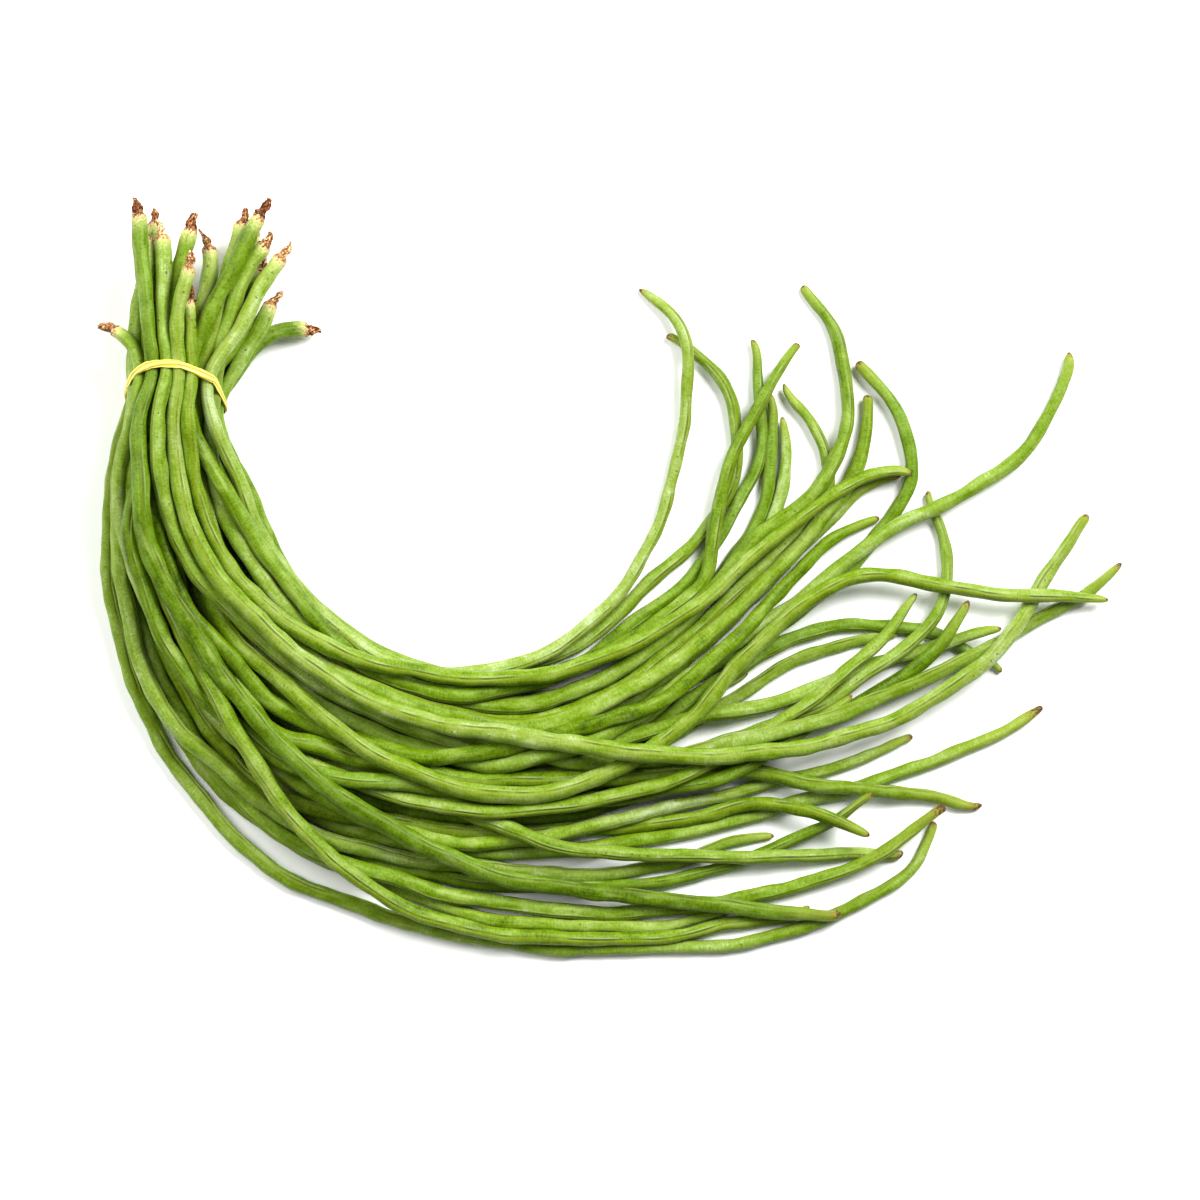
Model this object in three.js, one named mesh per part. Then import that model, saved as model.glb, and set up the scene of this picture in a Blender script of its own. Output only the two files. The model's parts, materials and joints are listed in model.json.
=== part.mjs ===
// A bunch of yardlong beans held by one rubber band and lying on a table.
// Millimetres, +Z up, X along the fan of pods, origin under the middle of the bunch on the table.

import * as THREE from 'three';

// Driving dimensions
const POD_RADIUS = 3.85; // of an ordinary pod past the band
const STEM_RADIUS = 3.85; // of a pod at its shoulder, above the band
const TIE_RADIUS = 3.15; // of every pod where the band squeezes it
const CLEARANCE = 0.4; // kept between neighbouring pods
const POD_SIDES = 6;
const STEP = 21.5; // length of pod between two sections
const STEM_STEP = 17; // the same above the band, where the pods splay
const SWELLING = 0.03; // share by which a pod is thicker or thinner from place to place
const SWELLING_PITCH = 195; // length of pod from one thick place to the next
const SQUEEZED_LENGTH = 70; // length of pod from the band to where it has its full thickness
const STEM_SQUEEZED_LENGTH = 62; // the same, towards the stub
const TIGHT_SHARE = 0.1; // share of those lengths, next to the band, in which it stays thin
const SEED_STEP = 7919; // between the seeds of two pods' draws

const LEAN_SHARE = 0.84; // a pod is this much thinner in its second half
const LEAN_FROM = 0.4; // share of its length at which it starts to get thinner
const LEAN_TO = 0.9;
const TIP_TAPER = 90; // length over which it narrows to its tip
const TIP_SHARE = 0.7; // thickness of the tip, as a share of the pod's
const TIP_SECTIONS = [[0.8, 12], [0.5, 2.8]]; // share of the last radius, and how far from the end

// The dried stalk stub is a crooked cone, and the pod's shoulder rises round over its base.
const STUB_LENGTH = 8.5;
const STUB_SECTIONS = [[0.85, 0.5], [1.35, 3.6], [2.05, 7.6]]; // radius, and distance from the end
const SHOULDER_SECTIONS = [[0.84, 1.6], [0.99, 5]]; // share of the radius, and distance from the stub
const SHOULDER_END = 5.5; // past this a pod has only its evenly spaced sections

const BAND_WIDTH = 3.8;
const BAND_THICKNESS = 1.2;
const BAND_CLEARANCE = 0.4; // between the band and the pods in it
const BAND_STEPS = 32;
const BAND_LEAD = 26; // length of pod that runs straight out of the band
const STEM_LEAD = 5; // the same, towards the stub
const BAND_SIDE_Y = 98.5; // where the band passes the sides of the bunch
const BAND_SLOPE_UP = 0.78; // how far it leans to the stubs, for each millimetre up from the middle
const BAND_SLOPE_DOWN = 0.25; // the same, to the pods, for each millimetre down
const BAND_SLANT = 0.11; // how far it drops to the pods, for each millimetre to the right
const BAND_EDGE = 0.3; // cut off its outer corners, as a share of its thickness
const BAND_LINKS = 3; // lengths of pod each way from the band that it may touch
const BAND_REACH = 0.75; // share of its width, each way from its middle, in which it clears the pods
const TIE_CENTRE_X = -211;
const TIE_ROWS = [4, 5, 6, 7, 6, 5, 4]; // pods in each layer inside the band, lowest first
const TIE_FLOOR = 2.2; // the band lies between the lowest pods and the table

// Routes are laid out on a half-millimetre grid over a 600 mm square, x to the right and y down from
// its top left corner.
const GRID_STEP = 0.5;
const GRID_MIDDLE = 600;
const ROUTE_POINTS = 900;
const NEAR_POINTS = 3; // a route's first points, left out where they are too near to the band

// How the pods settle
const ROUNDS = 900;
const CLEARING_ROUNDS = 500; // the last ones, without weight, that only part the pods
const LENGTH_KEEPING_SHARE = 0.5; // of those, the first ones also keep the pods' lengths
const WEIGHT = 0.1; // sink per round
const ROUTE_PULL = 0.07; // towards the route, each round
const STIFFNESS = 0.32; // how strongly a pod bridges what it crosses
const SIDE_STIFFNESS = 0.35; // the same for its way from side to side
const LAYER_LIFT = 1.2; // starting height of each pod over the one below it
const SEARCH_REACH = 7; // extra reach when neighbours are listed
const SEARCH_EVERY = 8;
const SEARCH_CELL = 30;
const MOST_CELLS = 4096; // along one side of the search grid
const MOST_LINKS = 8192;
const LARGEST_PUSH = 1.6;
const STEM_WEIGHT_SHARE = 0.12; // the stem ends are short and hold themselves up
const END_STIFFNESS_SHARE = 0.5; // the stiffness of a pod's loose ends
const OVER_SHARE = 0.45; // one pod lies over another within this share of their reach
const CLEAR_ENOUGH = 0.02; // lack of clearance at which parting stops
const FALL_LENGTH = 90; // length over which a pod comes down from the band to its layer
const FLOOR_RISE = [18, 60]; // distances from the band at which the lowest pods leave and reach the table

// The colours of the three kinds of pod and of the band
const SKINS = {
  light: new THREE.MeshStandardMaterial({ color: 0xa9b75f, roughness: 0.46, metalness: 0 }),
  green: new THREE.MeshStandardMaterial({ color: 0x8ea344, roughness: 0.46, metalness: 0 }),
  deep: new THREE.MeshStandardMaterial({ color: 0x6f8a33, roughness: 0.44, metalness: 0 }),
};
const BAND_RUBBER = new THREE.MeshStandardMaterial({ color: 0xe3d06a, roughness: 0.55, metalness: 0 });

// Each pod: its skin and thickness, its layer in the bunch and in the fan (0 is lowest), the place of
// its stub and stem end, where it enters the band from left to right, and its way to the tip.
const PODS = [
  {
    skin: 'light', thick: 1.12, river: 36, fan: 30, tie: 174,
    stem: [[200, 256], [190, 285], [182, 322]],
    way: [[170, 407], [172, 436], [187, 493], [203, 550], [243, 606], [300, 652], [368, 698], [464, 727],
      [579, 745], [695, 755], [810, 745], [910, 713], [954, 684], [996, 654], [1025, 610], [1063, 552],
      [1086, 511]],
  },
  {
    skin: 'deep', thick: 1.14, river: 35, fan: 35, tie: 149,
    stem: [[143, 200], [147, 246], [151, 300]],
    way: [[143, 430], [140, 493], [157, 570], [204, 648], [281, 743], [338, 791], [445, 856], [560, 889],
      [646, 895], [715, 905], [784, 911], [842, 918]],
  },
  {
    skin: 'light', thick: 1.06, river: 34, fan: 34, tie: 188,
    stem: [[191, 288], [194, 306], [193, 329]],
    way: [[187, 407], [191, 464], [201, 522], [228, 567], [275, 615], [348, 656], [464, 677], [531, 677],
      [579, 667], [634, 646], [692, 607], [750, 558], [820, 503], [841, 488], [877, 473], [911, 469]],
  },
  {
    skin: 'green', thick: 1.04, river: 33, fan: 6.5, tie: 161,
    stem: [[167, 221], [170, 271], [165, 330]],
    way: [[158, 416], [160, 455], [174, 522], [200, 583], [246, 629], [319, 682], [387, 722], [464, 747],
      [540, 757], [600, 750], [656, 728], [721, 711], [790, 699], [860, 668], [922, 650], [964, 636],
      [1002, 624]],
  },
  {
    skin: 'light', thick: 0.86, river: 28, fan: 22, tie: 222,
    stem: [[294, 243], [272, 276], [247, 324]],
    way: [[222, 397], [234, 459], [263, 544], [302, 601], [346, 644], [408, 670], [455, 673], [498, 670],
      [531, 661], [567, 641], [615, 600], [652, 538], [676, 469], [685, 408], [689, 377], [688, 347],
      [673, 314], [639, 288]],
  },
  {
    skin: 'green', thick: 0.98, river: 31, fan: 31, tie: 211,
    stem: [[277, 202], [253, 233], [229, 290]],
    way: [[204, 416], [218, 474], [243, 522], [281, 570], [320, 618], [348, 656], [376, 675], [416, 687],
      [454, 697], [493, 694], [540, 679], [600, 655], [650, 628], [686, 600], [707, 575], [714, 530],
      [719, 496], [734, 452], [761, 404], [784, 360], [794, 342]],
  },
  {
    skin: 'green', thick: 1, river: 27, fan: 26, tie: 155,
    stem: [[159, 207], [160, 246], [158, 310]],
    way: [[149, 430], [149, 474], [164, 550], [196, 620], [240, 670], [300, 717], [368, 742], [445, 757],
      [500, 753], [560, 738], [618, 722], [657, 703], [695, 676], [752, 624], [788, 586], [826, 544],
      [864, 525], [881, 519]],
  },
  {
    skin: 'green', thick: 1.08, river: 26, fan: 9, tie: 168,
    stem: [[199, 215], [193, 235], [176, 300]],
    way: [[155, 430], [150, 500], [163, 570], [205, 655], [262, 722], [296, 743], [387, 763], [502, 777],
      [599, 774], [714, 768], [752, 770], [810, 784], [858, 790], [916, 795], [968, 803], [981, 810]],
  },
  {
    skin: 'green', thick: 1, river: 23, fan: 20, tie: 215,
    stem: [[276, 238], [251, 268], [226, 330]],
    way: [[206, 416], [212, 474], [233, 531], [281, 589], [320, 640], [368, 686], [422, 712], [480, 736],
      [530, 752], [580, 762], [640, 765], [700, 760], [752, 745], [819, 724], [884, 694], [937, 669],
      [995, 644], [1038, 621], [1082, 594], [1124, 562]],
  },
  {
    skin: 'light', thick: 1.04, river: 30, fan: 24, tie: 146,
    stem: [[150, 222], [154, 270], [150, 330]],
    way: [[138, 430], [133, 493], [150, 570], [190, 640], [220, 700], [264, 775], [310, 839], [360, 879],
      [419, 913], [478, 932], [547, 940], [634, 938], [726, 926], [772, 920], [812, 912]],
  },
  {
    skin: 'light', thick: 0.98, river: 29, fan: 6, tie: 141,
    stem: [[110, 325], [122, 324], [132, 336]],
    way: [[133, 420], [128, 455], [127, 493], [137, 550], [151, 600], [187, 667], [222, 715], [262, 760],
      [328, 800], [387, 832], [440, 847], [502, 839], [579, 828], [657, 812], [733, 793], [800, 776],
      [840, 768], [878, 751], [915, 734]],
  },
  {
    skin: 'light', thick: 1, river: 10, fan: 8, tie: 133,
    stem: [[150, 276], [146, 306], [141, 345]],
    way: [[140, 430], [129, 490], [126, 550], [134, 622], [156, 686], [184, 738], [217, 783], [273, 832],
      [329, 862], [390, 880], [458, 911], [518, 927], [567, 925], [646, 925], [700, 916], [728, 907]],
  },
  {
    skin: 'green', thick: 0.94, river: 17, fan: 9, tie: 128,
    stem: [[156, 318], [150, 352]],
    way: [[121, 430], [112, 480], [110, 540], [115, 607], [133, 679], [162, 745], [205, 807], [262, 862],
      [334, 899], [389, 917], [449, 932], [520, 943], [634, 947], [726, 944], [795, 929], [859, 904],
      [914, 867], [928, 844], [936, 822]],
  },
  {
    skin: 'green', thick: 1, river: 25, fan: 10, tie: 142,
    stem: [[150, 260], [146, 320]],
    way: [[133, 430], [124, 512], [126, 600], [143, 663], [176, 724], [218, 768], [262, 808], [310, 837],
      [359, 850], [409, 857], [470, 867], [547, 875], [607, 873], [646, 868], [690, 858], [726, 844],
      [773, 834]],
  },
  {
    skin: 'light', thick: 1.06, river: 22, fan: 23, tie: 205,
    stem: [[250, 209], [240, 250], [219, 320]],
    way: [[196, 416], [198, 474], [215, 540], [250, 600], [310, 655], [370, 690], [430, 715], [492, 726],
      [540, 727], [596, 704], [635, 687], [673, 659], [702, 634], [730, 611], [778, 565], [820, 521],
      [849, 488], [865, 442], [867, 419], [866, 395]],
  },
  {
    skin: 'light', thick: 1.06, river: 24, fan: 36, tie: 196,
    stem: [[207, 228], [213, 260], [206, 320]],
    way: [[192, 416], [182, 474], [190, 540], [215, 600], [262, 665], [330, 720], [400, 765], [480, 790],
      [560, 790], [620, 768], [662, 743], [702, 707], [752, 648], [806, 600], [845, 577], [897, 575],
      [954, 590], [1021, 596], [1108, 599]],
  },
  {
    skin: 'green', thick: 0.94, river: 18, fan: 17, tie: 239,
    stem: [[281, 290], [262, 330]],
    way: [[229, 397], [237, 444], [255, 506], [284, 568], [322, 618], [374, 659], [438, 676], [500, 670],
      [545, 657], [583, 642], [639, 594], [686, 550], [708, 527], [724, 500], [734, 473], [736, 423],
      [730, 398], [715, 371], [694, 354], [671, 333]],
  },
  {
    skin: 'deep', thick: 0.92, river: 12, fan: 12, tie: 240,
    stem: [[322, 326], [302, 326], [272, 335]],
    way: [[228, 410], [238, 474], [266, 547], [306, 608], [364, 660], [438, 686], [520, 682], [577, 661],
      [625, 628], [683, 585], [707, 548], [722, 528], [742, 496], [757, 475], [764, 423], [759, 379],
      [753, 360], [757, 342]],
  },
  {
    skin: 'green', thick: 1.02, river: 21, fan: 28, tie: 218,
    stem: [[262, 214], [252, 240], [232, 310]],
    way: [[212, 416], [222, 474], [240, 531], [270, 575], [315, 630], [380, 680], [450, 705], [520, 707],
      [597, 684], [635, 663], [690, 615], [750, 545], [803, 504], [830, 465], [843, 430], [847, 394],
      [844, 370], [830, 324], [816, 302], [802, 286]],
  },
  {
    skin: 'light', thick: 0.92, river: 15, fan: 15, tie: 225,
    stem: [[270, 255], [244, 320]],
    way: [[215, 430], [225, 490], [255, 560], [300, 620], [360, 670], [440, 712], [520, 722], [590, 705],
      [650, 668], [700, 625], [760, 570], [806, 530], [830, 500], [836, 480], [828, 454], [807, 419],
      [777, 394]],
  },
  {
    skin: 'deep', thick: 0.94, river: 9, fan: 10, tie: 212,
    stem: [[258, 262], [232, 325]],
    way: [[205, 420], [215, 480], [245, 550], [290, 612], [350, 665], [430, 705], [510, 712], [580, 695],
      [640, 660], [690, 615], [730, 565], [751, 534], [761, 507], [769, 471], [771, 438], [774, 408],
      [776, 396]],
  },
  {
    skin: 'green', thick: 0.92, river: 8, fan: 9, tie: 205,
    stem: [[250, 283], [232, 330]],
    way: [[198, 425], [205, 490], [232, 560], [285, 625], [350, 680], [440, 722], [520, 730], [590, 712],
      [650, 675], [700, 630], [740, 575], [772, 513], [781, 490], [785, 460], [786, 440], [785, 420]],
  },
  {
    skin: 'green', thick: 1.02, river: 20, fan: 25, tie: 190,
    stem: [[213, 296], [203, 335]],
    way: [[185, 416], [178, 474], [188, 540], [218, 605], [268, 665], [330, 712], [400, 748], [480, 765],
      [560, 752], [628, 722], [694, 675], [740, 640], [790, 610], [840, 572], [879, 539], [896, 526],
      [946, 501], [998, 476], [1036, 434], [1061, 390], [1075, 354]],
  },
  {
    skin: 'deep', thick: 1.04, river: 16, fan: 19, tie: 200,
    stem: [[240, 310], [220, 345]],
    way: [[190, 430], [190, 490], [210, 560], [255, 630], [320, 690], [400, 735], [480, 752], [560, 742],
      [630, 712], [690, 672], [750, 640], [800, 612], [850, 563], [889, 522], [906, 485], [911, 459],
      [902, 419], [890, 396], [872, 377], [854, 360]],
  },
  {
    skin: 'green', thick: 0.94, river: 11, fan: 6.8, tie: 195,
    stem: [[245, 297], [223, 335]],
    way: [[188, 425], [190, 490], [215, 560], [262, 625], [325, 680], [400, 725], [480, 742], [560, 735],
      [630, 705], [680, 662], [740, 610], [800, 548], [840, 510], [858, 494], [879, 484], [903, 480]],
  },
  {
    skin: 'deep', thick: 1, river: 6, fan: 6, tie: 188,
    stem: [[236, 326], [216, 360]],
    way: [[178, 425], [172, 490], [185, 560], [225, 630], [285, 690], [360, 738], [440, 768], [520, 775],
      [600, 752], [660, 715], [710, 680], [771, 645], [838, 624], [906, 627], [945, 636], [974, 656],
      [1004, 669]],
  },
  {
    skin: 'green', thick: 0.96, river: 7, fan: 5, tie: 182,
    stem: [[202, 318], [196, 355]],
    way: [[172, 425], [162, 490], [172, 560], [210, 635], [268, 700], [340, 750], [430, 785], [520, 790],
      [600, 770], [665, 738], [720, 706], [771, 671], [829, 645], [868, 636], [900, 632]],
  },
  {
    skin: 'green', thick: 0.94, river: 14, fan: 13, tie: 176,
    stem: [[181, 292], [178, 345]],
    way: [[166, 425], [155, 490], [162, 560], [198, 640], [255, 710], [325, 760], [410, 790], [500, 795],
      [590, 790], [660, 770], [730, 742], [805, 718], [864, 676], [906, 648], [937, 615], [946, 580],
      [947, 549], [944, 530], [923, 494]],
  },
  {
    skin: 'light', thick: 1, river: 19, fan: 21, tie: 172,
    stem: [[186, 280], [180, 335]],
    way: [[163, 416], [150, 480], [152, 560], [180, 630], [228, 692], [290, 745], [370, 785], [450, 805],
      [540, 808], [620, 798], [690, 775], [740, 742], [800, 708], [859, 667], [895, 623], [915, 590]],
  },
  {
    skin: 'deep', thick: 0.98, river: 5, fan: 10, tie: 168,
    stem: [[172, 300], [170, 350]],
    way: [[158, 425], [145, 490], [150, 570], [180, 645], [230, 715], [300, 770], [390, 805], [490, 815],
      [590, 805], [680, 778], [750, 745], [825, 716], [884, 690], [926, 661], [960, 623], [969, 600]],
  },
  {
    skin: 'deep', thick: 1, river: 32, fan: 11, tie: 156,
    stem: [[196, 300], [186, 335]],
    way: [[150, 425], [138, 490], [142, 570], [170, 645], [218, 715], [285, 765], [340, 778], [437, 791],
      [502, 800], [560, 802], [630, 793], [685, 780], [742, 764], [800, 727], [844, 705], [855, 694]],
  },
  {
    skin: 'green', thick: 0.96, river: 13, fan: 15, tie: 162,
    stem: [[165, 296], [163, 345]],
    way: [[146, 425], [138, 490], [145, 570], [172, 640], [215, 705], [270, 755], [330, 770], [401, 780],
      [445, 803], [493, 822], [550, 844], [606, 853], [669, 854], [772, 855], [859, 854], [905, 859]],
  },
  {
    skin: 'green', thick: 1, river: 4, fan: 3, tie: 158,
    stem: [[170, 316], [167, 355]],
    way: [[152, 425], [144, 490], [146, 570], [168, 645], [208, 717], [265, 780], [340, 826], [430, 848],
      [520, 852], [600, 845], [676, 831], [752, 814], [810, 800], [864, 785], [906, 774], [964, 749],
      [1012, 726], [1043, 706]],
  },
  {
    skin: 'light', thick: 1, river: 3, fan: 14, tie: 150,
    stem: [[160, 322], [157, 360]],
    way: [[160, 425], [151, 490], [150, 570], [168, 645], [203, 715], [250, 775], [310, 812], [387, 812],
      [464, 824], [540, 828], [620, 830], [690, 818], [733, 805], [761, 801], [818, 814], [848, 826],
      [871, 833]],
  },
  {
    skin: 'green', thick: 1, river: 2, fan: 22, tie: 144,
    stem: [[163, 340], [160, 370]],
    way: [[150, 425], [137, 490], [134, 560], [146, 635], [176, 710], [225, 784], [295, 843], [370, 875],
      [429, 889], [508, 905], [587, 915], [692, 908], [772, 892], [841, 872], [903, 837], [942, 801]],
  },
  {
    skin: 'deep', thick: 0.96, river: 1, fan: 13, tie: 137,
    stem: [[158, 352], [155, 378]],
    way: [[155, 425], [146, 490], [143, 560], [158, 640], [187, 710], [228, 775], [285, 826], [350, 855],
      [430, 878], [510, 886], [587, 885], [646, 886], [715, 872], [781, 845], [825, 826], [861, 797],
      [871, 785]],
  },
  {
    skin: 'light', thick: 0.86, river: 0, fan: 4, tie: 178,
    stem: [[214, 322], [204, 360]],
    way: [[170, 430], [165, 490], [178, 560], [215, 630], [275, 695], [350, 745], [430, 775], [520, 780],
      [600, 750], [637, 723], [695, 700], [725, 690], [744, 681]],
  },
];

// A repeatable random draw between 0 and 1
function seededDraw(seed) {
  let state = seed;
  return () => {
    state = (Math.imul(state, 1664525) + 1013904223) >>> 0;
    return state / 4294967296;
  };
}

function fromGrid([column, row]) {
  return new THREE.Vector2((column - GRID_MIDDLE) * GRID_STEP, (GRID_MIDDLE - row) * GRID_STEP);
}

// Places inside the band

const TIE_PITCH = 2 * TIE_RADIUS + CLEARANCE;
const TIE_RINGS = (TIE_ROWS.length - 1) / 2; // rings of pods round the middle one
const TIE_MIDDLE_Z = TIE_FLOOR + TIE_RADIUS + TIE_PITCH * TIE_RINGS;
const SIXTH_TURN = Math.PI / 3;

// The band leans, so a pod high in the bunch meets it nearer to the stubs than one at its side.
function bandY(x, z) {
  const above = z - TIE_MIDDLE_Z;
  const lean = above * (above > 0 ? BAND_SLOPE_UP : BAND_SLOPE_DOWN);
  return BAND_SIDE_Y + lean - BAND_SLANT * (x - TIE_CENTRE_X);
}

// The band presses a stack of logs round: each six-sided ring of them about the middle one becomes a
// circle, with the same pods in the same order.
function pressRound(across, rise) {
  const ring = Math.max(Math.abs(rise), Math.abs(across) + Math.abs(rise) / 2);
  const height = rise * Math.sin(SIXTH_TURN);
  const angle = Math.atan2(height, across);
  const side = Math.round(angle / SIXTH_TURN - 0.5 + 1e-6);
  const pastCorner = Math.hypot(across, height) * Math.sin(angle - side * SIXTH_TURN);
  const along = pastCorner / (Math.max(1, ring) * Math.sin(SIXTH_TURN));
  const turned = (side + along) * SIXTH_TURN;
  return new THREE.Vector2(Math.cos(turned), Math.sin(turned)).multiplyScalar(ring * TIE_PITCH);
}

// Pods stack in the band like logs: the layers by their order in the bunch, and each layer from left
// to right.
function placeInBand(pods) {
  const byLayer = [...pods].sort((a, b) => a.river - b.river);
  let taken = 0;
  TIE_ROWS.forEach((count, row) => {
    const layer = byLayer.slice(taken, taken + count).sort((a, b) => a.tie - b.tie);
    taken += count;
    layer.forEach((pod, place) => {
      const fromMiddle = pressRound(place - (count - 1) / 2, row - TIE_RINGS);
      const x = TIE_CENTRE_X + fromMiddle.x;
      const z = TIE_MIDDLE_Z + fromMiddle.y;
      pod.hold = new THREE.Vector3(x, bandY(x, z), z);
    });
  });
}

// The route of a pod from its stub through the band to its tip
function drawRoute(pod) {
  const hold = new THREE.Vector2(pod.hold.x, pod.hold.y);
  const stem = pod.stem.map(fromGrid).filter((point) => point.y > hold.y + STEM_LEAD);
  const way = pod.way.map(fromGrid).filter((point, i) => i >= NEAR_POINTS || point.y < hold.y - BAND_LEAD);
  const points = [...stem, hold, ...way].map((point) => new THREE.Vector3(point.x, point.y, 0));
  return new THREE.CatmullRomCurve3(points, false, 'centripetal').getPoints(ROUTE_POINTS);
}

// The line of a pod, as evenly spaced points with the radius, layer and target place of each
function layOut(pod, index) {
  const draw = seededDraw(SEED_STEP * (index + 1));
  const { hold } = pod;
  const fine = drawRoute(pod);
  const reach = [0];
  fine.slice(1).forEach((point, i) => reach.push(reach[i] + point.distanceTo(fine[i])));
  const total = reach[reach.length - 1];
  let atHold = 0;
  const fromHold = ({ x, y }) => Math.hypot(x - hold.x, y - hold.y);
  fine.forEach((point, i) => {
    if (fromHold(point) < fromHold(fine[atHold])) atHold = i;
  });
  const upLength = reach[atHold];
  const upCount = Math.max(1, Math.round(upLength / STEM_STEP));
  const downCount = Math.round((total - upLength) / STEP);
  const stations = [];
  for (let i = 0; i < upCount; i += 1) stations.push(upLength * i / upCount);
  for (let i = 0; i <= downCount; i += 1) stations.push(upLength + (total - upLength) * i / downCount);

  const wave = draw() * Math.PI * 2;
  pod.line = stations.map((along, i) => {
    const target = pointAt(fine, reach, along);
    const past = THREE.MathUtils.clamp((along - upLength) / (total - upLength), 0, 1);
    const stemSide = along < upLength;
    const squeezed = stemSide ? STEM_SQUEEZED_LENGTH : SQUEEZED_LENGTH;
    const loose = Math.abs(along - upLength) / squeezed;
    const free = THREE.MathUtils.smoothstep(loose, TIGHT_SHARE, 1);
    const swell = 1 + SWELLING * (Math.sin(along * Math.PI * 2 / SWELLING_PITCH + wave) + draw() - 0.5);
    const plain = stemSide ? STEM_RADIUS : POD_RADIUS * pod.thick;
    const full = THREE.MathUtils.lerp(TIE_RADIUS, plain * swell, free);
    const left = THREE.MathUtils.clamp((total - along) / TIP_TAPER, 0, 1);
    const lean = THREE.MathUtils.lerp(1, LEAN_SHARE, THREE.MathUtils.smoothstep(past, LEAN_FROM, LEAN_TO));
    return {
      target,
      along,
      held: i === upCount,
      stemSide,
      radius: full * lean * THREE.MathUtils.lerp(TIP_SHARE, 1, Math.sin(left * Math.PI / 2)),
      layer: THREE.MathUtils.lerp(pod.river, pod.fan, past),
    };
  });
  pod.total = total;
}

function pointAt(fine, reach, along) {
  let i = 1;
  while (i < reach.length - 1 && reach[i] < along) i += 1;
  const part = (along - reach[i - 1]) / (reach[i] - reach[i - 1]);
  return fine[i - 1].clone().lerp(fine[i], THREE.MathUtils.clamp(part, 0, 1));
}

// Settling: the pods sink, push each other aside and bridge what they cross. Every pod is a chain of
// straight lengths, and each length keeps clear of the lengths of other pods.

function makeChains(pods) {
  const nodes = [];
  const links = [];
  pods.forEach((pod, owner) => {
    pod.first = nodes.length;
    const atHold = pod.line.find((station) => station.held).along;
    pod.line.forEach((station, i) => {
      const held = station.held ? pod.hold : null;
      const fallen = Math.min(1, Math.abs(station.along - atHold) / FALL_LENGTH);
      const start = THREE.MathUtils.lerp(pod.hold.z, station.layer * LAYER_LIFT, fallen);
      nodes.push({
        owner,
        held,
        target: station.target,
        radius: station.radius,
        layer: station.layer,
        stemSide: station.stemSide,
        x: held ? held.x : station.target.x,
        y: held ? held.y : station.target.y,
        z: held ? held.z : Math.max(station.radius, station.stemSide ? pod.hold.z : start),
      });
      if (i > 0) {
        const a = nodes[nodes.length - 2];
        const b = nodes[nodes.length - 1];
        links.push({ a, b, owner, length: station.along - pod.line[i - 1].along });
      }
    });
  });
  return { nodes, links };
}

// Links of different pods whose boxes come within reach of each other
function listNeighbours(links) {
  const cell = SEARCH_CELL;
  const grid = new Map();
  const pairs = [];
  const boxes = links.map(({ a, b }) => {
    const pad = Math.max(a.radius, b.radius) + SEARCH_REACH / 2;
    return [Math.min(a.x, b.x) - pad, Math.max(a.x, b.x) + pad, Math.min(a.y, b.y) - pad,
      Math.max(a.y, b.y) + pad, Math.min(a.z, b.z) - pad, Math.max(a.z, b.z) + pad];
  });
  const seen = new Set();
  boxes.forEach((box, i) => {
    for (let cx = Math.floor(box[0] / cell); cx <= Math.floor(box[1] / cell); cx += 1) {
      for (let cy = Math.floor(box[2] / cell); cy <= Math.floor(box[3] / cell); cy += 1) {
        const key = cx * MOST_CELLS + cy;
        if (!grid.has(key)) grid.set(key, []);
        for (const j of grid.get(key)) {
          if (links[i].owner === links[j].owner || seen.has(i * MOST_LINKS + j)) continue;
          const other = boxes[j];
          if (box[0] > other[1] || other[0] > box[1]) continue;
          if (box[2] > other[3] || other[2] > box[3]) continue;
          if (box[4] > other[5] || other[4] > box[5]) continue;
          seen.add(i * MOST_LINKS + j);
          pairs.push([links[i], links[j]]);
        }
        grid.get(key).push(i);
      }
    }
  });
  return pairs;
}

// Closest places on two links, as the share of the way along each
function closestShares(p, q) {
  const ux = p.b.x - p.a.x;
  const uy = p.b.y - p.a.y;
  const uz = p.b.z - p.a.z;
  const vx = q.b.x - q.a.x;
  const vy = q.b.y - q.a.y;
  const vz = q.b.z - q.a.z;
  const wx = p.a.x - q.a.x;
  const wy = p.a.y - q.a.y;
  const wz = p.a.z - q.a.z;
  const a = ux * ux + uy * uy + uz * uz;
  const b = ux * vx + uy * vy + uz * vz;
  const c = ux * wx + uy * wy + uz * wz;
  const e = vx * vx + vy * vy + vz * vz;
  const f = vx * wx + vy * wy + vz * wz;
  const spread = a * e - b * b;
  let s = spread > 1e-6 * a * e ? THREE.MathUtils.clamp((b * f - c * e) / spread, 0, 1) : 0.5;
  let t = (b * s + f) / e;
  if (t < 0) {
    t = 0;
    s = THREE.MathUtils.clamp(-c / a, 0, 1);
  } else if (t > 1) {
    t = 1;
    s = THREE.MathUtils.clamp((b - c) / a, 0, 1);
  }
  return [s, t];
}

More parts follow.
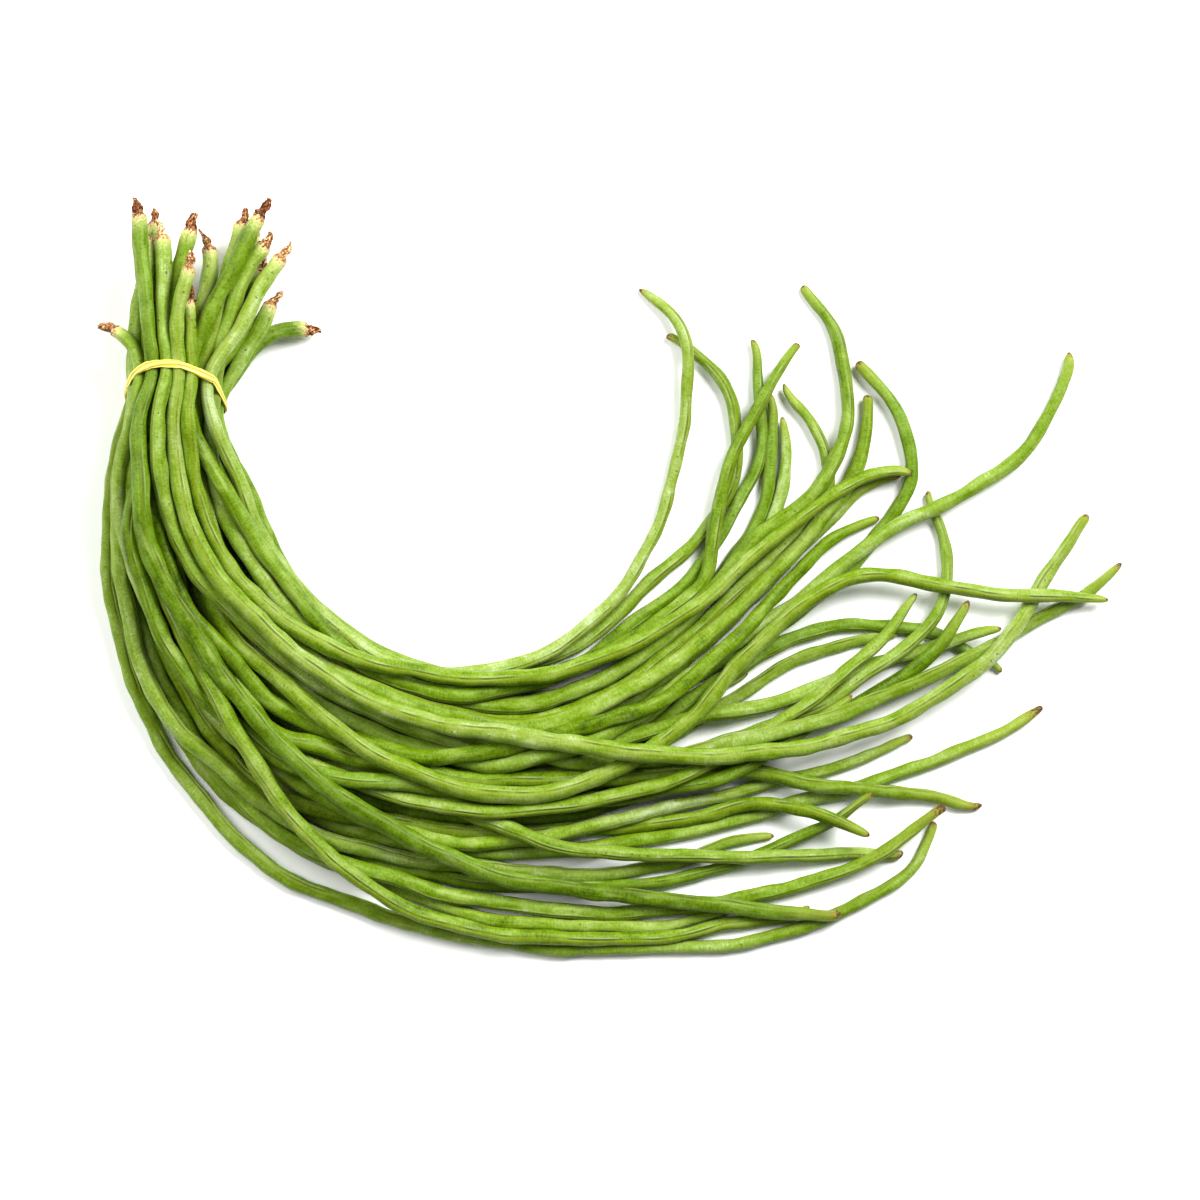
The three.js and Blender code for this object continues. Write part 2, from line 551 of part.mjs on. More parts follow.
// Parts two links that are too close, and says by how much they were. One that lies nearly over the
// other is pushed up or down by its layer, so a pod never slips through the one it rests on.
function partPair([p, q], keepOrder) {
  const [s, t] = closestShares(p, q);
  const mix = (from, to, share) => from + (to - from) * share;
  let dx = mix(p.a.x, p.b.x, s) - mix(q.a.x, q.b.x, t);
  let dy = mix(p.a.y, p.b.y, s) - mix(q.a.y, q.b.y, t);
  let dz = mix(p.a.z, p.b.z, s) - mix(q.a.z, q.b.z, t);
  const need = mix(p.a.radius, p.b.radius, s) + mix(q.a.radius, q.b.radius, t) + CLEARANCE;
  const flat = Math.hypot(dx, dy);
  const above = mix(p.a.layer, p.b.layer, s) > mix(q.a.layer, q.b.layer, t) ? 1 : -1;
  const wrongSide = keepOrder && dz * above < 0 && flat < need * OVER_SHARE;
  const distance = Math.hypot(flat, dz);
  if (distance >= need && !wrongSide) return 0;
  let lack = need - distance;
  if (wrongSide) {
    lack = need + Math.abs(dz);
    dx = 0;
    dy = 0;
    dz = above;
  } else if (distance < 1e-3) {
    dz = above;
  } else {
    dx /= distance;
    dy /= distance;
    dz /= distance;
  }
  const weights = [1 - s, s, 1 - t, t];
  const sharing = weights.reduce((sum, w) => sum + w * w, 0);
  const push = Math.min(lack, LARGEST_PUSH) / sharing;
  [p.a, p.b, q.a, q.b].forEach((node, k) => {
    if (node.held) return;
    const move = push * weights[k] * (k < 2 ? 1 : -1);
    node.x += dx * move;
    node.y += dy * move;
    node.z += dz * move;
  });
  return lack;
}

function keepLengths(links) {
  for (const { a, b, length } of links) {
    const dx = b.x - a.x;
    const dy = b.y - a.y;
    const dz = b.z - a.z;
    const now = Math.hypot(dx, dy, dz);
    const share = (now - length) / now / ((a.held ? 0 : 1) + (b.held ? 0 : 1));
    if (!a.held) {
      a.x += dx * share;
      a.y += dy * share;
      a.z += dz * share;
    }
    if (!b.held) {
      b.x -= dx * share;
      b.y -= dy * share;
      b.z -= dz * share;
    }
  }
}

// A pod bends little from one section to the next, most of all up and down.
function keepSmooth(pods, nodes) {
  for (const pod of pods) {
    for (let i = pod.first + 1; i < pod.first + pod.line.length - 1; i += 1) {
      const node = nodes[i];
      if (node.held) continue;
      const before = nodes[i - 1];
      const after = nodes[i + 1];
      node.z += STIFFNESS * ((before.z + after.z) / 2 - node.z);
      const aside = (axis) => (before[axis] - before.target[axis] + after[axis] - after.target[axis]) / 2;
      node.x += SIDE_STIFFNESS * (node.target.x + aside('x') - node.x);
      node.y += SIDE_STIFFNESS * (node.target.y + aside('y') - node.y);
    }
    const last = pod.first + pod.line.length - 1;
    const drop = 2 * nodes[last - 1].z - nodes[last - 2].z - nodes[last].z;
    nodes[last].z += STIFFNESS * END_STIFFNESS_SHARE * drop;
    if (!nodes[pod.first + 1].held) {
      const rise = 2 * nodes[pod.first + 1].z - nodes[pod.first + 2].z - nodes[pod.first].z;
      nodes[pod.first].z += STIFFNESS * END_STIFFNESS_SHARE * rise;
    }
  }
}

// Pods lie on the table with a flat underside, and are a little higher where the band is under them.
const FLAT_UNDER = Math.sin(Math.PI / 3);
const NEAR_TABLE = 0.01;
const ON_TABLE = 1e-4;

function floorUnder(node) {
  const near = 1 - THREE.MathUtils.smoothstep(Math.abs(node.y - BAND_SIDE_Y), ...FLOOR_RISE);
  return node.radius * FLAT_UNDER + near * TIE_FLOOR;
}

function settle(pods) {
  const { nodes, links } = makeChains(pods);
  let pairs = [];
  for (let round = 0; round < ROUNDS + CLEARING_ROUNDS; round += 1) {
    const clearing = round >= ROUNDS;
    if (round % SEARCH_EVERY === 0) pairs = listNeighbours(links);
    if (!clearing) {
      for (const node of nodes) {
        if (node.held) continue;
        node.z -= node.stemSide ? WEIGHT * STEM_WEIGHT_SHARE : WEIGHT;
        node.x += ROUTE_PULL * (node.target.x - node.x);
        node.y += ROUTE_PULL * (node.target.y - node.y);
      }
      keepSmooth(pods, nodes);
    }
    if (round < ROUNDS + CLEARING_ROUNDS * LENGTH_KEEPING_SHARE) keepLengths(links);
    let worst = 0;
    for (const pair of pairs) worst = Math.max(worst, partPair(pair, !clearing));
    for (const node of nodes) {
      if (!node.held) node.z = Math.max(node.z, floorUnder(node));
    }
    if (clearing && worst < CLEAR_ENOUGH) break;
  }
  return nodes;
}

// A pod is turned as a straight, lean lathe form and then bent along its settled line.

function podProfile(pod) {
  const { line, total } = pod;
  const full = line[1].radius;
  const last = line[line.length - 1].radius;
  const shoulder = SHOULDER_SECTIONS.map(([share, past]) => [full * share, STUB_LENGTH + past]);
  const body = line.slice(1, -1).filter(({ along }) => along > STUB_LENGTH + SHOULDER_END)
    .map(({ radius, along }) => [radius, along]);
  const tip = TIP_SECTIONS.map(([share, left]) => [last * share, total - left]);
  return [[0, 0], ...STUB_SECTIONS, ...shoulder, ...body, ...tip, [0, total]];
}

function bendPod(pod, nodes) {
  const chain = nodes.slice(pod.first, pod.first + pod.line.length);
  const frames = chain.map((node, i) => {
    const from = chain[Math.max(0, i - 1)];
    const to = chain[Math.min(chain.length - 1, i + 1)];
    const incoming = direction(from, node);
    const outgoing = direction(node, to);
    const along = incoming.add(outgoing);
    if (node.z < node.radius * FLAT_UNDER + NEAR_TABLE) along.z = 0;
    along.normalize();
    const side = new THREE.Vector3(along.y, -along.x, 0).normalize();
    return { at: new THREE.Vector3(node.x, node.y, node.z), side, up: side.clone().cross(along) };
  });
  const profile = podProfile(pod);
  const outline = profile.map(([r, s]) => new THREE.Vector2(r, s));
  const lathe = new THREE.LatheGeometry(outline, POD_SIDES, Math.PI / POD_SIDES);
  const places = lathe.getAttribute('position');
  const point = new THREE.Vector3();
  for (let i = 0; i < places.count; i += 1) {
    point.fromBufferAttribute(places, i);
    const { at, side, up } = frameAt(pod, frames, point.y);
    point.copy(at).addScaledVector(side, places.getX(i)).addScaledVector(up, places.getZ(i));
    places.setXYZ(i, point.x, point.y, point.z < ON_TABLE ? 0 : point.z);
  }
  return lathe;
}

function direction(from, to) {
  const along = new THREE.Vector3(to.x - from.x, to.y - from.y, to.z - from.z);
  return along.lengthSq() > 0 ? along.normalize() : along;
}

// The place and the two cross directions at a distance along a pod
function frameAt(pod, frames, along) {
  const { line } = pod;
  let i = 1;
  while (i < line.length - 1 && line[i].along < along - 1e-6) i += 1;
  const share = (along - line[i - 1].along) / (line[i].along - line[i - 1].along);
  if (share > 1 - 1e-6) return frames[i];
  const from = frames[i - 1];
  const to = frames[i];
  return {
    at: from.at.clone().lerp(to.at, share),
    side: from.side.clone().lerp(to.side, share).normalize(),
    up: from.up.clone().lerp(to.up, share).normalize(),
  };
}

function makePod(pod, index, nodes) {
  const mesh = new THREE.Mesh(bendPod(pod, nodes), SKINS[pod.skin]);
  mesh.name = `bean_${String(index + 1).padStart(2, '0')}`;
  return mesh;
}

// The outline that the band has to clear, as points around the pods where it passes them
const OUTLINE_STEPS = 30;
const OUTLINE_TURNS = 24;
function bandOutline(pods, nodes) {
  const points = [];
  const halfWidth = BAND_WIDTH * BAND_REACH;
  for (const pod of pods) {
    const chain = nodes.slice(pod.first, pod.first + pod.line.length);
    const heldAt = chain.findIndex((node) => node.held);
    chain.slice(1).forEach((b, i) => {
      const a = chain[i];
      if (Math.abs(i + 0.5 - heldAt) > BAND_LINKS) return;
      for (let k = 0; k <= OUTLINE_STEPS; k += 1) {
        const share = k / OUTLINE_STEPS;
        const r = a.radius + (b.radius - a.radius) * share + BAND_CLEARANCE;
        const x = a.x + (b.x - a.x) * share;
        const y = a.y + (b.y - a.y) * share;
        const z = a.z + (b.z - a.z) * share;
        for (let turn = 0; turn < OUTLINE_TURNS; turn += 1) {
          const angle = turn * Math.PI * 2 / OUTLINE_TURNS;
          const rise = z + r * Math.sin(angle);
          if (Math.abs(y - bandY(x, rise)) < halfWidth) {
            points.push(new THREE.Vector2(x + r * Math.cos(angle), rise));
          }
        }
      }
    });
  }
  return points;
}

// The furthest reach of the outline from its middle, measured square to each side of the band, gives a
// ring of corners that lies outside every pod.
function bandReach(outline, middle, angle) {
  const out = new THREE.Vector2(Math.cos(angle), Math.sin(angle));
  let reach = 0;
  for (const point of outline) reach = Math.max(reach, point.clone().sub(middle).dot(out));
  return reach;
}

function makeBand(pods, nodes) {
  const outline = bandOutline(pods, nodes);
  const middle = new THREE.Vector2(TIE_CENTRE_X, TIE_MIDDLE_Z);
  const turn = Math.PI * 2 / BAND_STEPS;
  const reach = (step) => bandReach(outline, middle, (step + 0.5) * turn);
  const corner = (step) => {
    const before = reach(step - 1);
    const after = reach(step);
    const bend = (after - before * Math.cos(turn)) / Math.sin(turn);
    const square = new THREE.Vector2(Math.cos((step - 0.5) * turn), Math.sin((step - 0.5) * turn));
    const across = new THREE.Vector2(-square.y, square.x);
    return middle.clone().addScaledVector(square, before).addScaledVector(across, bend);
  };
  const half = BAND_WIDTH / 2;
  const edge = BAND_THICKNESS * BAND_EDGE;
  const section = [[0, -half], [0, half], [BAND_THICKNESS - edge, half], [BAND_THICKNESS, half - edge],
    [BAND_THICKNESS, -half + edge], [BAND_THICKNESS - edge, -half], [0, -half]];
  const round = 30; // radius that the ring is turned at, before it is stretched round the pods
  const turned = section.map(([out, wide]) => new THREE.Vector2(round + out, wide));
  const ring = new THREE.LatheGeometry(turned, BAND_STEPS);
  const places = ring.getAttribute('position');
  for (let i = 0; i < places.count; i += 1) {
    const angle = Math.atan2(places.getZ(i), places.getX(i));
    const step = (Math.round(angle / turn) + BAND_STEPS) % BAND_STEPS;
    const out = Math.hypot(places.getX(i), places.getZ(i)) - round;
    const wide = places.getY(i);
    const base = corner(step);
    const away = base.clone().sub(middle).normalize();
    const x = base.x + away.x * out;
    const z = Math.max(0, base.y + away.y * out);
    places.setXYZ(i, x, bandY(base.x, base.y) - wide, z);
  }
  const mesh = new THREE.Mesh(ring, BAND_RUBBER);
  mesh.name = 'rubber_band';
  return mesh;
}

placeInBand(PODS);
PODS.forEach(layOut);
const settled = settle(PODS);

const bunch = new THREE.Group();
PODS.forEach((pod, index) => bunch.add(makePod(pod, index, settled)));
bunch.add(makeBand(PODS, settled));

// The origin goes under the middle of the bunch.
const box = new THREE.Box3().setFromObject(bunch);
bunch.position.set(-(box.min.x + box.max.x) / 2, -(box.min.y + box.max.y) / 2, -box.min.z);

export default bunch;
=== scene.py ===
"""Dresses the yardlong bean bunch: fine pods with seams, stubs and hooked tips, and the rubber band."""

import json
import logging
import math
from collections.abc import Iterable, Iterator
from dataclasses import dataclass, field
from enum import Enum
from typing import NamedTuple

import bmesh
import bpy
import numpy as np
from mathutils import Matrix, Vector

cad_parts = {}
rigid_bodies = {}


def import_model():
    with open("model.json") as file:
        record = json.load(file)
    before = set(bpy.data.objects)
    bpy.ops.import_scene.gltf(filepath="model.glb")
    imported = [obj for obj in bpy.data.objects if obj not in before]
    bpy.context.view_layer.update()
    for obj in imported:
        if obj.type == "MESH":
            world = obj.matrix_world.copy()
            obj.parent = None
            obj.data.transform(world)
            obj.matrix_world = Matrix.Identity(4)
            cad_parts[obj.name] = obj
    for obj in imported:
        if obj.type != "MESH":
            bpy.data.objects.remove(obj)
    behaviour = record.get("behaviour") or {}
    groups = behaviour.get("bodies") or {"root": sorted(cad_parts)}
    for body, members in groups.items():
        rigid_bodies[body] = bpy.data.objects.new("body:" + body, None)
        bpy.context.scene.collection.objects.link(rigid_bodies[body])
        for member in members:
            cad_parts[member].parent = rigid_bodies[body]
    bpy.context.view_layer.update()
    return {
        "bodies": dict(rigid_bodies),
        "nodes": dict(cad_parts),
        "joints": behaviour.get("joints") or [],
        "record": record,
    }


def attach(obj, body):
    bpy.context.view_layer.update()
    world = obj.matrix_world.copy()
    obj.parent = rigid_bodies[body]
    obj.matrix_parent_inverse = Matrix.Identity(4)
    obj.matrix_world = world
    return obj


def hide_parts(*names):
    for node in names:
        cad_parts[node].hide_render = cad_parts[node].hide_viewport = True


logging.basicConfig(level=logging.INFO, format="%(message)s")
LOG = logging.getLogger("bean_bunch")

MM = 0.001
TURN = 2 * math.pi
UP = (0.0, 0.0, 1.0)
MERGE_GAP = 1e-7
CORNER_GAP = 2e-6

Pair = tuple[float, float]
Tree = bpy.types.NodeTree
Socket = bpy.types.NodeSocket
Form = bmesh.types.BMesh
Vert = bmesh.types.BMVert

# A colour mix has several sockets of the same name, so they are told apart by number.
MIX_SHARE, MIX_BASE, MIX_OVER, MIX_RESULT = 0, 6, 7, 2
NUMBER_BASE, NUMBER_OVER = 2, 3
COLOUR_MIX = {"data_type": "RGBA"}
MULTIPLY = {"operation": "MULTIPLY"}
SCALE_ADD = {"operation": "MULTIPLY_ADD"}


def linear(hex_colour: str) -> tuple[float, float, float, float]:
    """Turn an sRGB hex colour into the linear values that shaders work in.

    Args:
        hex_colour: Six hex digits, such as "89a53b".

    Returns:
        Red, green, blue and full opacity.
    """
    channels = [int(hex_colour[i : i + 2], 16) / 255 for i in (0, 2, 4)]
    return (*(c / 12.92 if c <= 0.04045 else ((c + 0.055) / 1.055) ** 2.4 for c in channels), 1.0)


def add_node(tree: Tree, kind: str, settings: dict, inputs: dict) -> bpy.types.Node:
    """Add a node with its settings, and set or link its inputs.

    Args:
        tree: The node tree that gets the node.
        kind: The node's type name without the "ShaderNode" at its start.
        settings: Attributes of the node.
        inputs: Values or output sockets, by input name or index.

    Returns:
        The new node.
    """
    node = tree.nodes.new("ShaderNode" + kind)
    for name, value in settings.items():
        setattr(node, name, value)
    for key, value in inputs.items():
        if isinstance(value, Socket):
            tree.links.new(value, node.inputs[key])
        else:
            node.inputs[key].default_value = value
    return node


def add_grain(tree: Tree, place: Socket, grain: tuple, detail: float, roughness: float = 0.55) -> Socket:
    """Add noise with a grain of so many millimetres.

    Args:
        tree: The material's node tree.
        place: Places in metres, on a straightened pod or strand whose third axis runs along it.
        grain: Grain size in millimetres on each axis.
        detail: Octaves.
        roughness: How strongly the finer octaves show.

    Returns:
        The noise's value socket.
    """
    scale = tuple(1.0 / (size * MM) for size in grain)
    stretched = add_node(tree, "Mapping", {}, {"Vector": place, "Scale": scale}).outputs["Vector"]
    inputs = {"Vector": stretched, "Scale": 1.0, "Detail": detail, "Roughness": roughness}
    return add_node(tree, "TexNoise", {}, inputs).outputs["Fac"]


def add_tones(tree: Tree, value: Socket, ends: Pair, stops: Iterable[tuple[float, str]]) -> Socket:
    """Turn a value into a colour.

    Args:
        tree: The material's node tree.
        value: The socket that is read.
        ends: The values that stand for places 0 and 1.
        stops: Places from 0 to 1 with their sRGB hex colours, in order.

    Returns:
        The colour's socket.
    """
    place = add_node(tree, "MapRange", {}, {"Value": value, "From Min": ends[0], "From Max": ends[1]})
    ramp = add_node(tree, "ValToRGB", {}, {"Fac": place.outputs["Result"]})
    stops = list(stops)
    elements = ramp.color_ramp.elements
    while len(elements) < len(stops):
        elements.new(1.0)
    for element, (spot, colour) in zip(elements, stops):
        element.position = spot
        element.color = linear(colour)
    return ramp.outputs["Color"]


def empty_material(name: str) -> bpy.types.Material:
    """Make a material whose node tree is empty.

    Args:
        name: What the real material is.

    Returns:
        The material.
    """
    material = bpy.data.materials.new(name)
    material.use_nodes = True
    material.node_tree.nodes.clear()
    return material


def grid_points(bm: Form, columns: int, rows: int) -> Iterator[tuple[Vert, int, int]]:
    """Fill an empty bmesh with a grid and walk over its points.

    Args:
        bm: The bmesh, with its layers made.
        columns: Faces across.
        rows: Faces along.

    Yields:
        Each point with its column and its row.
    """
    bmesh.ops.create_grid(bm, x_segments=columns, y_segments=rows, size=1.0)
    for vert in bm.verts:
        column = int(round((vert.co.x + 1) / 2 * columns))
        row = int(round((vert.co.y + 1) / 2 * rows))
        yield vert, column, row


def add_object(bm: Form, name: str) -> bpy.types.Object:
    """Put a finished bmesh into the scene as an object, and free it.

    Args:
        bm: The finished form.
        name: The object's name.

    Returns:
        The object, at the origin.
    """
    mesh = bpy.data.meshes.new(name)
    bm.to_mesh(mesh)
    bm.free()
    piece = bpy.data.objects.new(name, mesh)
    bpy.context.scene.collection.objects.link(piece)
    return piece


class Tone(Enum):
    """The three kinds of pod in the bunch, by the record's material slots."""

    LIGHT = "pod_light"
    GREEN = "pod_green"
    DEEP = "pod_deep"


class Coat(NamedTuple):
    """A colour over the skin: none of it where a value is none_at, its strength where it is full_at."""

    colour: str
    none_at: float
    full_at: float
    strength: float = 1.0


class SeamLine(NamedTuple):
    """A line along the seam: its middle and half widths, how strongly it shows, and its relief."""

    middle_mm: float
    outer_mm: float
    inner_mm: float
    strength: float
    relief: float


class Waves(NamedTuple):
    """Uneven waves: a few wave lengths over two pi, in metres, and the height that each of them adds."""

    lengths: tuple[float, ...]
    size: float


class Rib(NamedTuple):
    """A rib, or below zero a groove, by the seam: a share of the radius, and a place and width in degrees."""

    height: float
    middle: float
    width: float


@dataclass(frozen=True)
class PodSkin:
    """Fresh bean pod: a thin waxy skin over wet flesh, so satin, streaked lengthwise and finely wrinkled."""

    tone: Tone
    shade: str
    body: str
    glow: str
    bloom_and_highlight: str
    seam: str

    # Grains in millimetres: two across the straightened pod and one along it.
    wrinkle_mm: tuple[float, ...] = (2.2, 2.2, 0.6)
    fibre_mm: tuple[float, ...] = (1.1, 1.1, 30.0)
    blotch_mm: tuple[float, ...] = (5.5, 5.5, 11.0)
    mottle_mm: tuple[float, ...] = (1.1, 1.1, 1.4)
    scuff_mm: tuple[float, ...] = (6.0, 6.0, 26.0)
    seam_break_mm: tuple[float, ...] = (80.0, 80.0, 24.0)

    # How much blotches, fibres, mottling and wrinkles change the green, and where each green stands.
    green_weights: tuple[float, ...] = (0.9, 0.38, 0.36, 0.56)
    green_sums: Pair = (0.68, 1.5)
    green_places: tuple[float, ...] = (0.0, 0.4, 0.72, 1.0)

    # Dry scuffs, and specks: their spacing, how far their sizes differ, and how much they grow near the stub.
    scuff: Coat = Coat("aebf68", 0.57, 0.72, 0.26)
    speck: Coat = Coat("4f4414", -0.01, 0.03, 0.8)
    speck_mm: float = 3.1
    speck_spread: float = 0.36
    speck_least: float = -0.16
    speck_growth: float = 0.15
    speck_near_mm: Pair = (70.0, 15.0)
    speck_patches: Pair = (0.36, 0.56)

    # The seam's three lines are an olive strip, a painted highlight along the ridge and painted shade in the
    # groove. Also given: the side of the pod that they are on, and where they fade.
    # Painted shade: the dark colour laid in the seam's groove.
    groove_shade: str = "47470a"
    strip_line: SeamLine = SeamLine(-1.7, 1.5, 0.7, 0.4, 0.0)
    # Painted highlight: the ridge beside the groove is painted in the palest green, which elsewhere is a pale
    # tone that comes and goes at random.
    ridge_highlight_line: SeamLine = SeamLine(0.1, 0.75, 0.2, 0.35, 1.0)
    groove_shade_line: SeamLine = SeamLine(-0.8, 0.58, 0.1, 0.7, -1.4)
    seam_front_mm: Pair = (0.6, 2.0)
    seam_breaks: Pair = (0.43, 0.6)
    seam_start_mm: Pair = (50.0, 130.0)

    # Collar and bark by millimetres from the stub's end, and tip colours by millimetres to the tip.
    collar_fray_mm: float = 14.0
    collar: tuple[Coat, ...] = (
        Coat("c3cb78", 26.0, 17.0, 0.55),
        Coat("c8b684", 19.6, 17.8, 0.85),
        Coat("a27a48", 17.8, 16.8),
    )
    bark_mm: Pair = (16.8, 15.2)
    bark_tint: float = 0.45
    bark_stops: tuple = ((0.38, "43220f"), (0.48, "7d4a2c"), (0.56, "ab7848"), (0.64, "e3cfa0"))
    ripe_tip: Coat = Coat("8f9a33", 26.0, 3.0, 0.35)
    tip_fray_mm: float = 7.0
    dry_tip: tuple[Coat, ...] = (Coat("84702c", 7.6, 5.2, 0.6), Coat("50391c", 5.6, 4.2))

    # Surface: satin on the pod, dull and deeply wrinkled on the stub.
    stub_mm: Pair = (9.5, 7.0)
    ior: float = 1.4
    specular: float = 0.22
    roughness_least: float = 0.34
    roughness_spread: float = 0.16
    stub_roughness: float = 0.9
    sheen: float = 0.06
    sheen_roughness: float = 0.32
    sheen_tint: str = "e6eec4"
    mottle_relief: float = 0.9
    stub_relief: float = 2.5
    bump_strength: float = 0.55
    bump_mm: float = 0.27

    def material(self) -> bpy.types.Material:
        """Build the skin's node material.

        Returns:
            The material, named for the kind of pod.
        """
        material = empty_material(f"bean pod skin {self.tone.name.lower()}")
        tree = material.node_tree
        straight = add_node(tree, "Attribute", {"attribute_name": "straight"}, {}).outputs["Vector"]
        from_stub, to_tip, tint = (
            add_node(tree, "Attribute", {"attribute_name": name}, {}).outputs["Fac"]
            for name in ("from_stub", "to_tip", "tint")
        )

        wrinkle = add_grain(tree, straight, self.wrinkle_mm, 2.0)
        fibre = add_grain(tree, straight, self.fibre_mm, 2.0)
        blotch = add_grain(tree, straight, self.blotch_mm, 4.0)
        mottle = add_grain(tree, straight, self.mottle_mm, 4.0)

        colour = self._greens(tree, [blotch, fibre, mottle, wrinkle], tint)
        colour = self._lay(tree, colour, self.scuff, add_grain(tree, straight, self.scuff_mm, 5.0))
        colour = self._specks(tree, colour, straight, blotch, from_stub)
        colour, crease = self._seam_lines(tree, colour, straight, from_stub)
        colour = self._ends(tree, colour, from_stub, to_tip, mottle, tint)
        stub = self._shown(tree, [(from_stub, *self.stub_mm)])

        satin = add_node(
            tree, "Math", SCALE_ADD, {0: blotch, 1: self.roughness_spread, 2: self.roughness_least}
        ).outputs[0]
        roughness = add_node(
            tree,
            "Mix",
            {"data_type": "FLOAT"},
            {MIX_SHARE: stub, NUMBER_BASE: satin, NUMBER_OVER: self.stub_roughness},
        ).outputs[0]
        shader = add_node(
            tree,
            "BsdfPrincipled",
            {},
            {
                "Base Color": colour,
                "Roughness": roughness,
                "IOR": self.ior,
                "Specular IOR Level": self.specular,
                "Sheen Weight": self.sheen,
                "Sheen Roughness": self.sheen_roughness,
                "Sheen Tint": linear(self.sheen_tint),
                "Normal": self._relief(tree, mottle, wrinkle, crease, stub),
            },
        )
        add_node(tree, "OutputMaterial", {}, {"Surface": shader.outputs["BSDF"]})
        return material

    def _shown(self, tree: Tree, ramps: list[tuple], strength: float = 1.0) -> Socket:
        """How much of something shows: a strength times one smooth share for each of some values.

        Args:
            tree: The skin's node tree.
            ramps: Each value's socket, with the number that gives 0 and the number that gives 1.
            strength: The most that shows.

        Returns:
            The share's socket.
        """
        shown = strength
        for value, none_at, full_at in ramps:
            rises = none_at < full_at
            share = add_node(
                tree,
                "MapRange",
                {"interpolation_type": "SMOOTHSTEP"},
                {
                    "Value": value,
                    "From Min": min(none_at, full_at),
                    "From Max": max(none_at, full_at),
                    "To Min": 0.0 if rises else 1.0,
                    "To Max": 1.0 if rises else 0.0,
                },
            ).outputs["Result"]
            shown = add_node(tree, "Math", MULTIPLY, {0: share, 1: shown}).outputs[0]
        return shown

    def _lay(self, tree: Tree, colour: Socket, coat: Coat, value: Socket, *others: tuple) -> Socket:
        """Lay a coat over the skin.

        Args:
            tree: The skin's node tree.
            colour: The skin so far.
            coat: The colour and where it shows.
            value: The socket that the coat goes by.
            others: Further ramps that hold it back.

        Returns:
            The colour's socket.
        """
        share = self._shown(tree, [(value, coat.none_at, coat.full_at), *others], coat.strength)
        sockets = {MIX_SHARE: share, MIX_BASE: colour, MIX_OVER: linear(coat.colour)}
        return add_node(tree, "Mix", COLOUR_MIX, sockets).outputs[MIX_RESULT]

    def _greens(self, tree: Tree, layers: list, tint: Socket) -> Socket:
        """Mix the greens of the skin by blotches, fibres, mottling and wrinkles.

        Args:
            tree: The skin's node tree.
            layers: Noise sockets, in the order of their weights.
            tint: How light the pod is here.

        Returns:
            The colour's socket.
        """
        total = tint
        for layer, weight in zip(layers, self.green_weights):
            total = add_node(tree, "Math", SCALE_ADD, {0: layer, 1: weight, 2: total}).outputs[0]
        stops = zip(self.green_places, (self.shade, self.body, self.glow, self.bloom_and_highlight))
        return add_tones(tree, total, self.green_sums, stops)

    def _specks(
        self, tree: Tree, colour: Socket, straight: Socket, blotch: Socket, from_stub: Socket
    ) -> Socket:
        """Add small brown specks, closer together in some stretches and larger near the stub.

        Args:
            tree: The skin's node tree.
            colour: The skin so far.
            straight: Places on the straightened pod.
            blotch: The blotches, which gather the specks.
            from_stub: Millimetres from the stub's end.

        Returns:
            The colour's socket.
        """
        cells = add_node(
            tree,
            "TexVoronoi",
            {"voronoi_dimensions": "3D", "feature": "F1"},
            {"Vector": straight, "Scale": 1.0 / (self.speck_mm * MM), "Randomness": 1.0},
        )
        drawn = add_node(tree, "SeparateColor", {}, {"Color": cells.outputs["Color"]}).outputs["Red"]
        near = self._shown(tree, [(from_stub, *self.speck_near_mm)])
        reach = self.speck_least
        for value, growth in ((drawn, self.speck_spread), (near, self.speck_growth)):
            reach = add_node(tree, "Math", SCALE_ADD, {0: value, 1: growth, 2: reach}).outputs[0]
        inside = add_node(
            tree, "Math", {"operation": "SUBTRACT"}, {0: reach, 1: cells.outputs["Distance"]}
        ).outputs[0]
        return self._lay(tree, colour, self.speck, inside, (blotch, *self.speck_patches))

    def _seam_lines(
        self, tree: Tree, colour: Socket, straight: Socket, from_stub: Socket
    ) -> tuple[Socket, Socket]:
        """Draw the seam: an olive strip, and painted shade in its groove beside a painted highlight along its
        ridge, which come and go.

        Args:
            tree: The skin's node tree.
            colour: The skin so far.
            straight: Places on the straightened pod.
            from_stub: Millimetres from the stub's end; groove and ridge start some way below it.

        Returns:
            The colour's socket and the crease's height socket.
        """
        parts = add_node(tree, "SeparateXYZ", {}, {"Vector": straight}).outputs
        front = (parts["X"], *(edge * MM for edge in self.seam_front_mm))
        breaks = (add_grain(tree, straight, self.seam_break_mm, 2.0), *self.seam_breaks)
        start = (from_stub, *self.seam_start_mm)
        crease = 0.0
        # The ridge's pale line is a painted highlight and the groove's dark line is painted shade; ridge and
        # groove also bump the skin.
        for line, over in (
            (self.strip_line, self.seam),
            (self.ridge_highlight_line, self.bloom_and_highlight),
            (self.groove_shade_line, self.groove_shade),
        ):
            aside = add_node(
                tree, "Math", {"operation": "SUBTRACT"}, {0: parts["Y"], 1: line.middle_mm * MM}
            ).outputs[0]
            gap = add_node(tree, "Math", {"operation": "ABSOLUTE"}, {0: aside}).outputs[0]
            across = (gap, line.outer_mm * MM, line.inner_mm * MM)
            if line.relief:
                shown = self._shown(tree, [across, front, breaks, start])
                crease = add_node(tree, "Math", SCALE_ADD, {0: shown, 1: line.relief, 2: crease}).outputs[0]
            else:
                shown = self._shown(tree, [across, front])
            veil = add_node(tree, "Math", MULTIPLY, {0: shown, 1: line.strength}).outputs[0]
            sockets = {MIX_SHARE: veil, MIX_BASE: colour, MIX_OVER: linear(over)}
            colour = add_node(tree, "Mix", COLOUR_MIX, sockets).outputs[MIX_RESULT]
        return colour, crease

